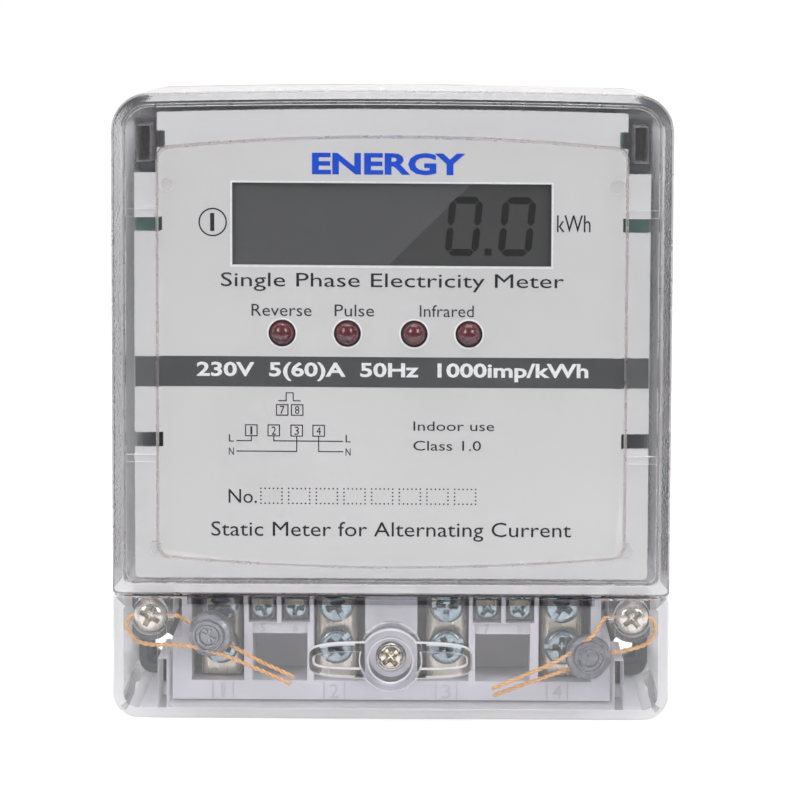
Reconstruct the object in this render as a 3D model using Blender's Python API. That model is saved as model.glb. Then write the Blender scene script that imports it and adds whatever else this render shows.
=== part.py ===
"""Single-phase electricity meter with a clear front: cover, dial plate, display, terminals and seals.

Metres, +Z up. X runs to the right as the front is seen, the front faces -Y, and the back face lies
in the plane y = 0. The origin is the middle of the back face, which goes against the wall.
"""

import math

import bmesh
import bpy
from mathutils import Matrix, Vector

MM = 0.001
GAP = 0.3 * MM

# The case
WIDTH = 112 * MM
HEIGHT = 126.5 * MM
FRONT = 57 * MM
PROUD = 1 * MM
WALL = 1.8 * MM
TOP_CORNER = 7.6 * MM
BOTTOM_CORNER = 5.2 * MM
TOP_BOW = 0.7 * MM
BACK_PLATE = 3 * MM
SPLIT_TOP = -38.0 * MM
SPLIT_BOTTOM = -38.4 * MM

# The tray wall of the base, which stands inside the covers' skirts
TRAY_INSET = 2.2 * MM
TRAY_HEIGHT = 15 * MM

# The raised window panel on the front of the main cover
PANEL_HALF = 46.7 * MM
PANEL_TOP = 51.8 * MM
PANEL_BOTTOM = -30.3 * MM
PANEL_BOW = 2.1 * MM
PANEL_CORNER = 2.6 * MM
PANEL_RISE = 0.6 * MM

# The screws that hold the main cover, in its two lower ears
EAR_X = 48.7 * MM
EAR_Z = -43.0 * MM
EAR_RADIUS = 4.8 * MM
EAR_FLAT = 52.2 * MM
EAR_FRONT = 53.5 * MM
EAR_BACK = 34.3 * MM
HEAD_SEAT = 50 * MM
SEAL_HOLE_Y = -51.2 * MM

# The terminal cover's own screw, in the middle of its oval grip
BOSS_Z = -51.1 * MM
BOSS_RADIUS = 6.4 * MM
BOSS_BACK = 46.4 * MM
BOSS_SEAT = 52 * MM
GRIP_LENGTH = 33.4 * MM
GRIP_HEIGHT = 7.6 * MM
GRIP_SLOT = 3.3 * MM

# The terminal block
BLOCK_HALF = 44.6 * MM
BLOCK_BOTTOM = -61.1 * MM
BLOCK_TOP = -34.5 * MM
BLOCK_FRONT = 46 * MM
BLOCK_BACK = 3.3 * MM
WELL_BOTTOM = -57.2 * MM
WELL_TOP = -35.5 * MM
WELL_FLOOR = 28 * MM
WELLS = ((-40.7 * MM, -30.0 * MM), (-15.8 * MM, -5.3 * MM), (5.3 * MM, 15.8 * MM), (30.0 * MM, 40.7 * MM))
AUX_POCKETS = ((-28.3 * MM, -17.1 * MM), (17.1 * MM, 28.3 * MM))
AUX_RECESS_FLOOR = 32.5 * MM

# The four main terminals and their screws
TERMINAL_X = (-34.9 * MM, -11.3 * MM, 11.3 * MM, 34.9 * MM)
TERMINAL_HALF = 4.2 * MM
TERMINAL_FRONT = 40.5 * MM
TERMINAL_BACK = 29.5 * MM
TERMINAL_TOP = -36.2 * MM
TERMINAL_BOTTOM = -56.8 * MM
BORE_Y = -35 * MM
BORE_RADIUS = 3.3 * MM
CABLE_HOLE_RADIUS = 4.4 * MM
SCREW_Z = {"upper": -42.0 * MM, "lower": -50.6 * MM}
SCREW_HEAD_RADIUS = 3.65 * MM

# The four auxiliary terminals and their screws
AUX_X = {5: -26.2 * MM, 6: -19.5 * MM, 7: 19.5 * MM, 8: 26.2 * MM}
AUX_SCREW_Z = -42.4 * MM
AUX_HEAD_RADIUS = 2.6 * MM

# The dial plate, the circuit board and what they carry
PLATE_HALF = 51.6 * MM
PLATE_TOP = 58.7 * MM
PLATE_BOTTOM = -35.0 * MM
PLATE_BACK = 52.6 * MM
PLATE_FRONT = 53.4 * MM
DISPLAY_HALF = 31.8 * MM
DISPLAY_TOP = 44.5 * MM
DISPLAY_BOTTOM = 28.1 * MM
LED_X = {"reverse": -21.9 * MM, "pulse": -8.85 * MM, "infrared_in": 4.5 * MM, "infrared_out": 15.45 * MM}
LED_Z = 14.5 * MM
LED_RADIUS = 2.5 * MM
PIN_PLACES = ((44.8 * MM, 44.0 * MM), (47.4 * MM, -28.8 * MM))
BOARD_BACK = 46 * MM
BOARD_FRONT = 47.6 * MM
BOARD_POSTS = ((-42 * MM, 51 * MM), (42 * MM, 51 * MM), (-38 * MM, -10 * MM), (38 * MM, -10 * MM))

# The wires through the seals
WIRE_RADIUS = 0.45 * MM
WIRE_STEP = 2.2 * MM
SEAL_RADIUS = 4.7 * MM
SEAL_THICKNESS = 5.6 * MM


# ---------------------------------------------------------------- building blocks


def clear_scene():
    for obj in list(bpy.data.objects):
        bpy.data.objects.remove(obj, do_unlink=True)


def material(name, colour, roughness, metallic=0.0, transmission=0.0):
    made = bpy.data.materials.get(name) or bpy.data.materials.new(name)
    made.use_nodes = True
    shader = made.node_tree.nodes["Principled BSDF"]
    shader.inputs["Base Color"].default_value = (*colour, 1.0)
    shader.inputs["Roughness"].default_value = roughness
    shader.inputs["Metallic"].default_value = metallic
    shader.inputs["Transmission Weight"].default_value = transmission
    made.diffuse_color = (*colour, 1.0)
    return made


def object_from(name, bm, sharp_angle=40):
    bmesh.ops.recalc_face_normals(bm, faces=bm.faces)
    mesh = bpy.data.meshes.new(name)
    bm.to_mesh(mesh)
    bm.free()
    mesh.shade_smooth()
    mesh.set_sharp_from_angle(angle=math.radians(sharp_angle))
    obj = bpy.data.objects.new(name, mesh)
    bpy.context.scene.collection.objects.link(obj)
    return obj


def skin_rings(name, rings, sharp_angle=40):
    """A closed body through rings of equally many points, closed by a face at each end."""
    bm = bmesh.new()
    rows = [[bm.verts.new(point) for point in ring] for ring in rings]
    count = len(rows[0])
    for low, high in zip(rows, rows[1:]):
        for i in range(count):
            j = (i + 1) % count
            bm.faces.new((low[i], low[j], high[j], high[i]))
    bm.faces.new(rows[0])
    bm.faces.new(rows[-1])
    return object_from(name, bm, sharp_angle)


def prism(name, outline, back, front):
    """An (x, z) outline drawn out along Y, from back to front, both measured out from the wall."""
    return skin_rings(name, [[(x, -depth, z) for x, z in outline] for depth in (back, front)])


def box(name, x, depth, z):
    """A block between two values of x, of the depth out from the wall, and of z."""
    outline = [(x[0], z[0]), (x[1], z[0]), (x[1], z[1]), (x[0], z[1])]
    return prism(name, outline, *depth)


def rod(name, start, end, radius, sides=16):
    """A round bar from one point to another."""
    start, end = Vector(start), Vector(end)
    turn = (end - start).to_track_quat("Z", "Y")
    rings = []
    for centre in (start, end):
        angles = [math.tau * i / sides for i in range(sides)]
        circle = [Vector((radius * math.cos(a), radius * math.sin(a), 0)) for a in angles]
        rings.append([centre + turn @ point for point in circle])
    return skin_rings(name, rings)


def turned(name, x, z, profile, sides=20, centre_y=0.0):
    """A body turned about a line along Y through (x, z). The profile is (radius, y) from end to end."""
    rings = []
    for radius, y in profile:
        angles = [math.tau * i / sides for i in range(sides)]
        ring = [(x + radius * math.cos(a), centre_y + y, z + radius * math.sin(a)) for a in angles]
        rings.append(ring)
    return skin_rings(name, rings, sharp_angle=35)


def arc(centre_x, centre_z, radius, start_degrees, end_degrees, steps=6):
    angles = [math.radians(start_degrees + (end_degrees - start_degrees) * i / steps) for i in range(steps + 1)]
    return [(centre_x + radius * math.cos(a), centre_z + radius * math.sin(a)) for a in angles]


def bowed(left, right, level, bow, steps=8):
    """Inner points of an edge from left to right that swells by bow in its middle."""
    middle, half = (left + right) / 2, (right - left) / 2
    points = [left + (right - left) * i / steps for i in range(1, steps)]
    return [(x, level + bow * (1 - ((x - middle) / half) ** 2)) for x in points]


def rounded(left, right, bottom, top, top_radius, bottom_radius, top_bow=0.0, bottom_bow=0.0):
    """A rectangle's outline with round corners, and with a top or bottom edge that may be bowed."""
    points = arc(right - top_radius, top - top_radius, top_radius, 0, 90)
    if top_bow:
        points += bowed(right - top_radius, left + top_radius, top, top_bow)
    points += arc(left + top_radius, top - top_radius, top_radius, 90, 180)
    points += arc(left + bottom_radius, bottom + bottom_radius, bottom_radius, 180, 270)
    if bottom_bow:
        points += bowed(left + bottom_radius, right - bottom_radius, bottom, bottom_bow)
    points += arc(right - bottom_radius, bottom + bottom_radius, bottom_radius, 270, 360)
    return points


def plus(x, z, span, width, slot=None):
    """The outline of a cross recess. A slot makes its level arms longer, as on a combined drive."""
    half, arm = width / 2, span / 2
    side = (slot or span) / 2
    corners = [(side, half), (half, half), (half, arm), (-half, arm), (-half, half), (-side, half)]
    corners += [(-px, -pz) for px, pz in corners]
    return [(x + px, z + pz) for px, pz in corners]


def helper(obj):
    """Marks an object as a tool of another one, which is no part of the meter."""
    obj.hide_render = True
    obj.display_type = "WIRE"
    return obj


def combine(obj, other, operation):
    modifier = obj.modifiers.new(other.name, "BOOLEAN")
    modifier.operation = operation
    modifier.object = helper(other)
    return obj


def cut(obj, *cutters):
    for cutter in cutters:
        combine(obj, cutter, "DIFFERENCE")
    return obj


def join(obj, *others):
    for other in others:
        combine(obj, other, "UNION")
    return obj


def paint(obj, *look):
    obj.data.materials.clear()
    obj.data.materials.append(material(*look))
    return obj


def set_origin(obj, point):
    """Moves an object's origin to a point, and leaves its shape where it is."""
    obj.data.transform(Matrix.Translation(-Vector(point)))
    obj.location = point
    return obj


def mirrored(sign, x):
    """A pair of x values on the right side, or their mirror image on the left, in rising order."""
    return tuple(sorted((sign * x[0], sign * x[1])))


SIDES = ((-1, "left"), (1, "right"))
CLEAR = ("clear_polycarbonate", (0.86, 0.87, 0.88), 0.05, 0.0, 1.0)
DARK_GREY = ("dark_grey_plastic", (0.085, 0.092, 0.105), 0.5)
LIGHT_GREY = ("light_grey_plastic", (0.58, 0.57, 0.61), 0.45)
NICKEL = ("nickel_plated_brass", (0.60, 0.55, 0.47), 0.35, 1.0)
ZINC = ("zinc_plated_steel", (0.50, 0.56, 0.60), 0.3, 1.0)
BRIGHT = ("bright_nickel", (0.75, 0.71, 0.66), 0.2, 1.0)
COPPER = ("copper", (0.72, 0.38, 0.22), 0.35, 1.0)


# ---------------------------------------------------------------- case


def case_outline(inset, bottom=-HEIGHT / 2, top=HEIGHT / 2 - TOP_BOW, bottom_radius=BOTTOM_CORNER):
    half = WIDTH / 2 - inset
    radii = max(TOP_CORNER - inset, 0.5 * MM), max(bottom_radius - inset, 0.5 * MM)
    return rounded(-half, half, bottom + inset, top - inset, *radii, top_bow=TOP_BOW)


def lower_outline(inset):
    """The outline of the terminal cover, which has its round corners below and square ones above."""
    half = WIDTH / 2 - inset
    corner = max(BOTTOM_CORNER - inset, 0.5 * MM)
    return rounded(-half, half, -HEIGHT / 2 + inset, SPLIT_BOTTOM - inset, 0.5 * MM, corner)


def upper_outline(inset):
    """The outline of the main cover, down to the split between the covers."""
    return case_outline(inset, bottom=SPLIT_TOP, bottom_radius=0.8 * MM + inset)


def base_case():
    """The dark tray on the wall: posts for the board and the cover screws, and its fixing holes."""
    base = prism("base_case", case_outline(0), 0, BACK_PLATE)
    tray = prism("base_tray", case_outline(TRAY_INSET), BACK_PLATE / 2, TRAY_HEIGHT)
    cut(tray, prism("base_tray_inside", case_outline(TRAY_INSET + WALL), BACK_PLATE / 4, TRAY_HEIGHT + MM))
    block_room = (BACK_PLATE, TRAY_HEIGHT + MM)
    opening = box("base_block_room", (-BLOCK_HALF - GAP, BLOCK_HALF + GAP), block_room, (-64 * MM, -56 * MM))
    join(base, tray)
    cut(base, opening)
    for number, (x, z) in enumerate(BOARD_POSTS, 1):
        top = (x, -(BOARD_BACK - GAP), z)
        join(base, rod(f"base_board_post_{number}", (x, -BACK_PLATE / 2, z), top, 3 * MM, 12))
        cut(base, rod(f"base_board_pilot_{number}", (x, -34 * MM, z), (x, -48 * MM, z), 1.4 * MM, 10))
    for sign, side in SIDES:
        x = sign * EAR_X
        top = (x, -(EAR_BACK - GAP), EAR_Z)
        join(base, rod(f"base_ear_post_{side}", (x, -BACK_PLATE / 2, EAR_Z), top, 3.1 * MM, 14))
        cut(base, rod(f"base_ear_pilot_{side}", (x, -24 * MM, EAR_Z), (x, -36 * MM, EAR_Z), 1.8 * MM, 12))
        tower = mirrored(sign, (46.8 * MM, 52.6 * MM))
        join(base, box(f"base_tower_{side}", tower, (BACK_PLATE / 2, 40 * MM), (46.4 * MM, 57.4 * MM)))
        pocket = mirrored(sign, (47.9 * MM, 51.4 * MM))
        cut(base, box(f"base_latch_pocket_{side}", pocket, (30 * MM, 42 * MM), (48.2 * MM, 56.4 * MM)))
        hole = (sign * 49.2 * MM, 5 * MM, -56.6 * MM), (sign * 49.2 * MM, -9 * MM, -56.6 * MM)
        cut(base, rod(f"base_fixing_hole_{side}", *hole, 2.2 * MM, 16))
    keyhole = arc(0, 46 * MM, 4.6 * MM, 120, 420, 16) + arc(0, 53 * MM, 2.3 * MM, 0, 180, 6)
    cut(base, prism("base_keyhole", keyhole, -MM, BACK_PLATE + MM))
    return paint(base, *DARK_GREY)


def latch(sign, side):
    """The clear tongue in a top corner of the main cover, which hooks into the base's tower."""
    tongue = mirrored(sign, (48.3 * MM, 51.0 * MM))
    return box(f"cover_latch_{side}", tongue, (31 * MM, FRONT - WALL / 2), (48.8 * MM, 56.0 * MM))


def ear(sign, side):
    """The lower ear that a cover screw goes through, with a counterbore for the screw's head."""
    x = sign * EAR_X
    bar = box(f"ear_bar_{side}", (x - EAR_RADIUS, x + EAR_RADIUS), (EAR_BACK, EAR_FRONT), (EAR_Z, -37 * MM))
    round_end = rod(f"ear_round_{side}", (x, -EAR_BACK, EAR_Z), (x, -EAR_FRONT, EAR_Z), EAR_RADIUS, 28)
    join(bar, round_end)
    outside = mirrored(sign, (EAR_FLAT, EAR_FLAT + 4 * MM))
    cut(bar, box(f"ear_outside_{side}", outside, (EAR_BACK - MM, EAR_FRONT + MM), (-50 * MM, -36 * MM)))
    return bar


def main_cover():
    """The clear upper cover: a box open at the back, a raised window panel, ears, latches and pins."""
    cover = prism("main_cover", upper_outline(0), BACK_PLATE + GAP, FRONT)
    cut(cover, prism("cover_inside", upper_outline(WALL), 0, FRONT - WALL))
    inner = WIDTH / 2 - WALL
    low = (SPLIT_TOP - MM, SPLIT_TOP + WALL + MM)
    cut(cover, box("cover_block_room", (-45.2 * MM, 45.2 * MM), (0, BLOCK_FRONT + 0.5 * MM), low))
    cut(cover, box("cover_tray_room", (-inner, inner), (0, TRAY_HEIGHT + 0.6 * MM), low))
    panel = rounded(
        -PANEL_HALF, PANEL_HALF, PANEL_BOTTOM, PANEL_TOP, PANEL_CORNER, PANEL_CORNER, PANEL_BOW, -PANEL_BOW * 0.9
    )
    join(cover, prism("cover_panel", panel, FRONT - WALL / 2, FRONT + PANEL_RISE))
    for sign, side in SIDES:
        join(cover, latch(sign, side), ear(sign, side))
        x = sign * EAR_X
        seat = rod(f"ear_seat_{side}", (x, -HEAD_SEAT, EAR_Z), (x, -EAR_FRONT - MM, EAR_Z), 3.75 * MM, 24)
        hole = rod(f"ear_hole_{side}", (x, -EAR_BACK + MM, EAR_Z), (x, -HEAD_SEAT - MM, EAR_Z), 1.9 * MM, 16)
        inward, outward = (x - sign * 7 * MM, SEAL_HOLE_Y, EAR_Z), (x + sign * 6 * MM, SEAL_HOLE_Y, EAR_Z)
        cut(cover, seat, hole, rod(f"ear_wire_hole_{side}", inward, outward, 0.95 * MM, 12))
        for number, (pin_x, pin_z) in enumerate(PIN_PLACES, 1):
            ends = (sign * pin_x, -(FRONT - WALL / 2), pin_z), (sign * pin_x, -(PLATE_FRONT + GAP), pin_z)
            join(cover, rod(f"cover_pin_{side}_{number}", *ends, 1.3 * MM, 12))
    return paint(cover, *CLEAR)


def oval(half_length, half_height, power=2.6, steps=36):
    """A long rounded outline, fuller than an ellipse, about the terminal cover's screw."""
    points = []
    for i in range(steps):
        c, s = math.cos(math.tau * i / steps), math.sin(math.tau * i / steps)
        x = half_length * math.copysign(abs(c) ** (2 / power), c)
        z = half_height * math.copysign(abs(s) ** (2 / power), s)
        points.append((x, BOSS_Z + z))
    return points


def terminal_cover():
    """The clear lower cover over the terminals, with a screw boss, an oval grip and inner ribs."""
    cover = prism("terminal_cover", lower_outline(0), BACK_PLATE + GAP, FRONT)
    inner = WIDTH / 2 - WALL
    cut(cover, prism("terminal_cover_inside", lower_outline(WALL), 0, FRONT - WALL))
    top = (SPLIT_BOTTOM - WALL - MM, SPLIT_BOTTOM + MM)
    cut(cover, box("terminal_cover_top_room", (-inner, inner), (0, 47 * MM), top))
    for sign, side in SIDES:
        room = mirrored(sign, (41 * MM, inner))
        cut(cover, box(f"terminal_cover_ear_room_{side}", room, (46 * MM, FRONT - WALL), top))
        rib = mirrored(sign, (45.2 * MM, 47.0 * MM))
        low, high = (-62 * MM, -51.4 * MM), (-52.4 * MM, -44.5 * MM)
        join(cover, box(f"terminal_cover_rib_{side}", rib, (30 * MM, FRONT - WALL / 2), low))
        join(cover, box(f"terminal_cover_rib_top_{side}", rib, (54.1 * MM, FRONT - WALL / 2), high))
    grip = prism("grip", oval(GRIP_LENGTH / 2, GRIP_HEIGHT / 2), FRONT - WALL / 2, FRONT + PROUD)
    slot = oval(GRIP_LENGTH / 2 - 1.4 * MM, GRIP_SLOT / 2)
    cut(grip, prism("grip_slot", slot, FRONT - WALL, FRONT + 2 * PROUD))
    join(cover, grip)
    join(cover, rod("boss", (0, -BOSS_BACK, BOSS_Z), (0, -(FRONT + PROUD), BOSS_Z), BOSS_RADIUS, 32))
    seat = rod("boss_seat", (0, -BOSS_SEAT, BOSS_Z), (0, -(FRONT + 2 * PROUD), BOSS_Z), 4.4 * MM, 28)
    hole = rod("boss_hole", (0, -(BOSS_BACK - MM), BOSS_Z), (0, -(BOSS_SEAT + MM), BOSS_Z), 1.8 * MM, 16)
    cut(cover, seat, hole)
    tab = box("terminal_cover_tab", (8.3 * MM, 11.9 * MM), (50 * MM, 54.6 * MM), (-41.2 * MM, SPLIT_BOTTOM - WALL / 2))
    join(cover, tab)
    for number, x in enumerate(TERMINAL_X, 1):
        span = (x - CABLE_HOLE_RADIUS, x + CABLE_HOLE_RADIUS)
        depth = (-BORE_Y - CABLE_HOLE_RADIUS, -BORE_Y + CABLE_HOLE_RADIUS)
        cut(cover, box(f"cable_entry_{number}", span, depth, (-65 * MM, -60.5 * MM)))
    return paint(cover, *CLEAR)


def screw(name, x, z, head, shank, tip_y, recess, side_hole=None):
    """A screw along Y. head is (radius, back y, front y) and recess is (span, width, depth, slot)."""
    radius, seat, front = head
    edge = 0.25 * abs(front - seat)
    profile = [(shank, tip_y), (shank, seat), (radius, seat), (radius, front + 2 * edge)]
    profile += [(0.93 * radius, front + edge), (0.6 * radius, front)]
    made = turned(name, x, z, profile, 16)
    span, width, depth, slot = recess
    outer = [(px, front - MM, pz) for px, pz in plus(x, z, span, width, slot)]
    inner = [(px, front + depth, pz) for px, pz in plus(x, z, 0.6 * span, 0.8 * width, slot and 0.8 * slot)]
    cut(made, skin_rings(f"{name}_recess", [outer, inner]))
    if side_hole:
        ends = (x - 2 * radius, side_hole, z), (x + 2 * radius, side_hole, z)
        cut(made, rod(f"{name}_wire_hole", *ends, 0.85 * MM, 12))
    return made


def case_screws(cover):
    for sign, side in SIDES:
        head = (3.35 * MM, -HEAD_SEAT - GAP, -EAR_FRONT - 0.2 * MM)
        recess = (4.4 * MM, 1.1 * MM, 1.1 * MM, None)
        name, x = f"cover_screw_{side}", sign * EAR_X
        made = screw(name, x, EAR_Z, head, 1.45 * MM, -28 * MM, recess, SEAL_HOLE_Y)
        paint(set_origin(made, (x, -HEAD_SEAT, EAR_Z)), *BRIGHT)
    head = (3.1 * MM, -BOSS_SEAT - GAP, -BOSS_SEAT - 2.5 * MM)
    made = screw("sealing_screw", 0, BOSS_Z, head, 1.45 * MM, -36 * MM, (4.2 * MM, 1.1 * MM, 1.4 * MM, None))
    paint(set_origin(made, (0, -BOSS_SEAT, BOSS_Z)), *BRIGHT)
    made.parent = cover


# ---------------------------------------------------------------- terminals


def terminal_block():
    """The moulded block: a well for each main terminal, and recesses and wire pockets for the others."""
    block = box("terminal_block", (-BLOCK_HALF, BLOCK_HALF), (BLOCK_BACK, BLOCK_FRONT), (BLOCK_BOTTOM, BLOCK_TOP))
    ahead = BLOCK_FRONT + MM
    for number, (left, right) in enumerate(WELLS, 1):
        cut(block, box(f"well_{number}", (left, right), (WELL_FLOOR, ahead), (WELL_BOTTOM, WELL_TOP)))
        x = TERMINAL_X[number - 1]
        ends = (x, BORE_Y, BLOCK_BOTTOM - MM), (x, BORE_Y, WELL_BOTTOM + MM)
        cut(block, rod(f"cable_hole_{number}", *ends, CABLE_HOLE_RADIUS, 20))
        slot = (-BORE_Y - 1.1 * MM, -BORE_Y + 1.1 * MM)
        cut(block, box(f"conductor_slot_{number}", (x - 3.2 * MM, x + 3.2 * MM), slot, (-36 * MM, -34 * MM)))
    for sign, (left, right) in zip((-1, 1), AUX_POCKETS):
        cut(block, box(f"pocket_{sign}", (left, right), (WELL_FLOOR, ahead), (WELL_BOTTOM, -47.6 * MM)))
        cut(block, box(f"label_{sign}", (left, right), (BLOCK_FRONT - MM, ahead), (-47.7 * MM, -45.3 * MM)))
        corner = mirrored(sign, (42.7 * MM, 46 * MM))
        cut(block, box(f"ear_notch_{sign}", corner, (0, ahead), (-48.4 * MM, -33 * MM)))
    for number, x in AUX_X.items():
        room = (x - 2.9 * MM, x + 2.9 * MM)
        cut(block, box(f"aux_recess_{number}", room, (AUX_RECESS_FLOOR, ahead), (-45.2 * MM, WELL_TOP)))
        cut(block, box(f"aux_entry_{number}", room, (AUX_RECESS_FLOOR, 41.8 * MM), (-48 * MM, -44 * MM)))
        ends = (x, -37.2 * MM, WELL_TOP - MM), (x, -37.2 * MM, BLOCK_TOP + MM)
        cut(block, rod(f"aux_wire_hole_{number}", *ends, 1.1 * MM, 10))
    hole = (0, -30 * MM, BOSS_Z), (0, -ahead, BOSS_Z)
    cut(block, rod("boss_screw_hole", *hole, 1.8 * MM, 16))
    rear_z = (BLOCK_BOTTOM + 2 * MM, BLOCK_TOP - 2 * MM)
    cut(block, box("block_rear", (-40.7 * MM, 40.7 * MM), (BLOCK_BACK - MM, WELL_FLOOR - 2.5 * MM), rear_z))
    return paint(block, *LIGHT_GREY)


def main_terminals():
    for number, x in enumerate(TERMINAL_X, 1):
        side = (x - TERMINAL_HALF, x + TERMINAL_HALF)
        body = rounded(*side, -TERMINAL_FRONT, -TERMINAL_BACK, 1.2 * MM, 1.2 * MM)
        rings = [[(px, py, z) for px, py in body] for z in (TERMINAL_BOTTOM, TERMINAL_TOP)]
        terminal = skin_rings(f"terminal_{number}", rings)
        ends = (x, BORE_Y, TERMINAL_BOTTOM - MM), (x, BORE_Y, TERMINAL_TOP + MM)
        cut(terminal, rod(f"bore_{number}", *ends, BORE_RADIUS, 20))
        for place, z in SCREW_Z.items():
            ends = (x, BORE_Y, z), (x, -TERMINAL_FRONT - MM, z)
            cut(terminal, rod(f"thread_{number}_{place}", *ends, 2.5 * MM, 16))
            head = (SCREW_HEAD_RADIUS, -TERMINAL_FRONT - GAP, -TERMINAL_FRONT - 3.0 * MM)
            recess = (4.6 * MM, 1.2 * MM, 1.4 * MM, 6.0 * MM)
            made = screw(f"terminal_screw_{number}_{place}", x, z, head, 2.15 * MM, -37.6 * MM, recess)
            paint(set_origin(made, (x, -TERMINAL_FRONT, z)), *ZINC)
        paint(terminal, *NICKEL)


def aux_terminals():
    for number, x in AUX_X.items():
        body = box(f"aux_terminal_{number}", (x - 2.3 * MM, x + 2.3 * MM), (33 * MM, 41.4 * MM), (-46 * MM, -37 * MM))
        cut(body, rod(f"aux_bore_{number}", (x, -37.2 * MM, -47 * MM), (x, -37.2 * MM, -36 * MM), 1.5 * MM, 12))
        ends = (x, -37.2 * MM, AUX_SCREW_Z), (x, -43 * MM, AUX_SCREW_Z)
        cut(body, rod(f"aux_thread_{number}", *ends, 1.75 * MM, 12))
        head = (AUX_HEAD_RADIUS, -41.7 * MM, -43.9 * MM)
        recess = (3.5 * MM, 0.9 * MM, 1.1 * MM, None)
        made = screw(f"aux_screw_{number}", x, AUX_SCREW_Z, head, 1.4 * MM, -38.2 * MM, recess)
        paint(set_origin(made, (x, -41.4 * MM, AUX_SCREW_Z)), *ZINC)
        paint(body, *NICKEL)


def conductors():
    """The copper that carries the current: in through the shunt on the line, straight across on neutral."""
    back, front = -BORE_Y - 0.6 * MM, -BORE_Y + 0.6 * MM
    low, bar_low, bar_high = -39 * MM, -31 * MM, -26 * MM
    leg = 2.8 * MM
    line, load, neutral_in, neutral_out = TERMINAL_X
    outline = [(line - leg, low), (line + leg, low), (line + leg, bar_low), (-27 * MM, bar_low)]
    outline += [(-27 * MM, bar_high), (line - leg, bar_high)]
    paint(prism("line_conductor", outline, back, front), *COPPER)
    outline = [(load - leg, low), (load + leg, low), (load + leg, bar_high), (-19 * MM, bar_high)]
    outline += [(-19 * MM, bar_low), (load - leg, bar_low)]
    paint(prism("load_conductor", outline, back, front), *COPPER)
    shunt = box("current_shunt", (-27 * MM + GAP, -19 * MM - GAP), (back, front), (bar_low, bar_high))
    paint(shunt, "manganin", (0.45, 0.33, 0.27), 0.4, 1.0)
    outline = [(neutral_in - leg, low), (neutral_in + leg, low), (neutral_in + leg, bar_low)]
    outline += [(neutral_out - leg, bar_low), (neutral_out - leg, low), (neutral_out + leg, low)]
    outline += [(neutral_out + leg, bar_high), (neutral_in - leg, bar_high)]
    paint(prism("neutral_link", outline, back, front), *COPPER)


# ---------------------------------------------------------------- dial plate, board and display


def dial_plate():
    """The silver plate behind the window, notched at its sides and cut away at its top corners."""
    outline = rounded(-PLATE_HALF, PLATE_HALF, PLATE_BOTTOM, PLATE_TOP, 5.5 * MM, MM, TOP_BOW, 0)
    plate = prism("dial_plate", outline, PLATE_BACK, PLATE_FRONT)
    ahead = (PLATE_BACK - MM, PLATE_FRONT + MM)
    display = (DISPLAY_BOTTOM, DISPLAY_TOP)
    cut(plate, box("display_window", (-DISPLAY_HALF, DISPLAY_HALF), ahead, display))
    for name, x in LED_X.items():
        ends = (x, -(PLATE_BACK - MM), LED_Z), (x, -(PLATE_FRONT + MM), LED_Z)
        cut(plate, rod(f"led_hole_{name}", *ends, LED_RADIUS + GAP, 20))
    for sign, side in SIDES:
        corner = mirrored(sign, (47.0 * MM, 60 * MM))
        cut(plate, box(f"plate_corner_{side}", corner, ahead, (46.6 * MM, 60 * MM)))
        step = mirrored(sign, (45.4 * MM, 48 * MM))
        cut(plate, box(f"plate_step_{side}", step, ahead, (51.6 * MM, 55 * MM)))
        notch = mirrored(sign, (45.8 * MM, 60 * MM))
        cut(plate, box(f"plate_notch_upper_{side}", notch, ahead, (34.9 * MM, 37.7 * MM)))
        cut(plate, box(f"plate_notch_lower_{side}", notch, ahead, (-8.5 * MM, -5.5 * MM)))
    return paint(plate, "silver_grey_plate", (0.60, 0.61, 0.60), 0.45)


def circuit_board():
    wide, narrow = 51.8 * MM, 42 * MM
    outline = [(-narrow, -31 * MM), (narrow, -31 * MM), (narrow, -2 * MM), (wide, -2 * MM), (wide, 46 * MM)]
    outline += [(46.2 * MM, 46 * MM), (46.2 * MM, 57 * MM), (-46.2 * MM, 57 * MM), (-46.2 * MM, 46 * MM)]
    outline += [(-wide, 46 * MM), (-wide, -2 * MM), (-narrow, -2 * MM)]
    board = prism("circuit_board", outline, BOARD_BACK, BOARD_FRONT)
    for number, (x, z) in enumerate(BOARD_POSTS, 1):
        ends = (x, -(BOARD_BACK - MM), z), (x, -(BOARD_FRONT + MM), z)
        cut(board, rod(f"board_hole_{number}", *ends, 1.5 * MM, 12))
        head = (2.4 * MM, -BOARD_FRONT - GAP, -BOARD_FRONT - 2.0 * MM)
        made = screw(f"board_screw_{number}", x, z, head, 1.1 * MM, -38 * MM, (3.2 * MM, 0.8 * MM, 0.8 * MM, None))
        paint(set_origin(made, (x, -BOARD_FRONT, z)), *ZINC)
    return paint(board, "green_circuit_board", (0.03, 0.085, 0.06), 0.4)


def display():
    holder = box("lcd_holder", (-34.3 * MM, 34.3 * MM), (47.9 * MM, 50.9 * MM), (26.0 * MM, 46.6 * MM))
    paint(holder, "black_plastic", (0.02, 0.02, 0.022), 0.5)
    glass = box("lcd_glass", (-33.6 * MM, 33.6 * MM), (51.2 * MM, 52.3 * MM), (26.6 * MM, 46.0 * MM))
    paint(glass, "display_glass", (0.10, 0.10, 0.10), 0.2)


def leds():
    """Four 5 mm lamps with a flange at the back and a dome that stands out of the dial plate."""
    shoulder = -52.4 * MM
    for name, x in LED_X.items():
        profile = [(2.9 * MM, -47.9 * MM), (2.9 * MM, -48.9 * MM), (LED_RADIUS, -48.9 * MM), (LED_RADIUS, shoulder)]
        for degrees in (20, 40, 60, 78):
            angle = math.radians(degrees)
            profile.append((LED_RADIUS * math.cos(angle), shoulder - LED_RADIUS * math.sin(angle)))
        paint(turned(f"led_{name}", x, LED_Z, profile, 20), "dark_red_epoxy", (0.17, 0.02, 0.03), 0.15)


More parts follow.
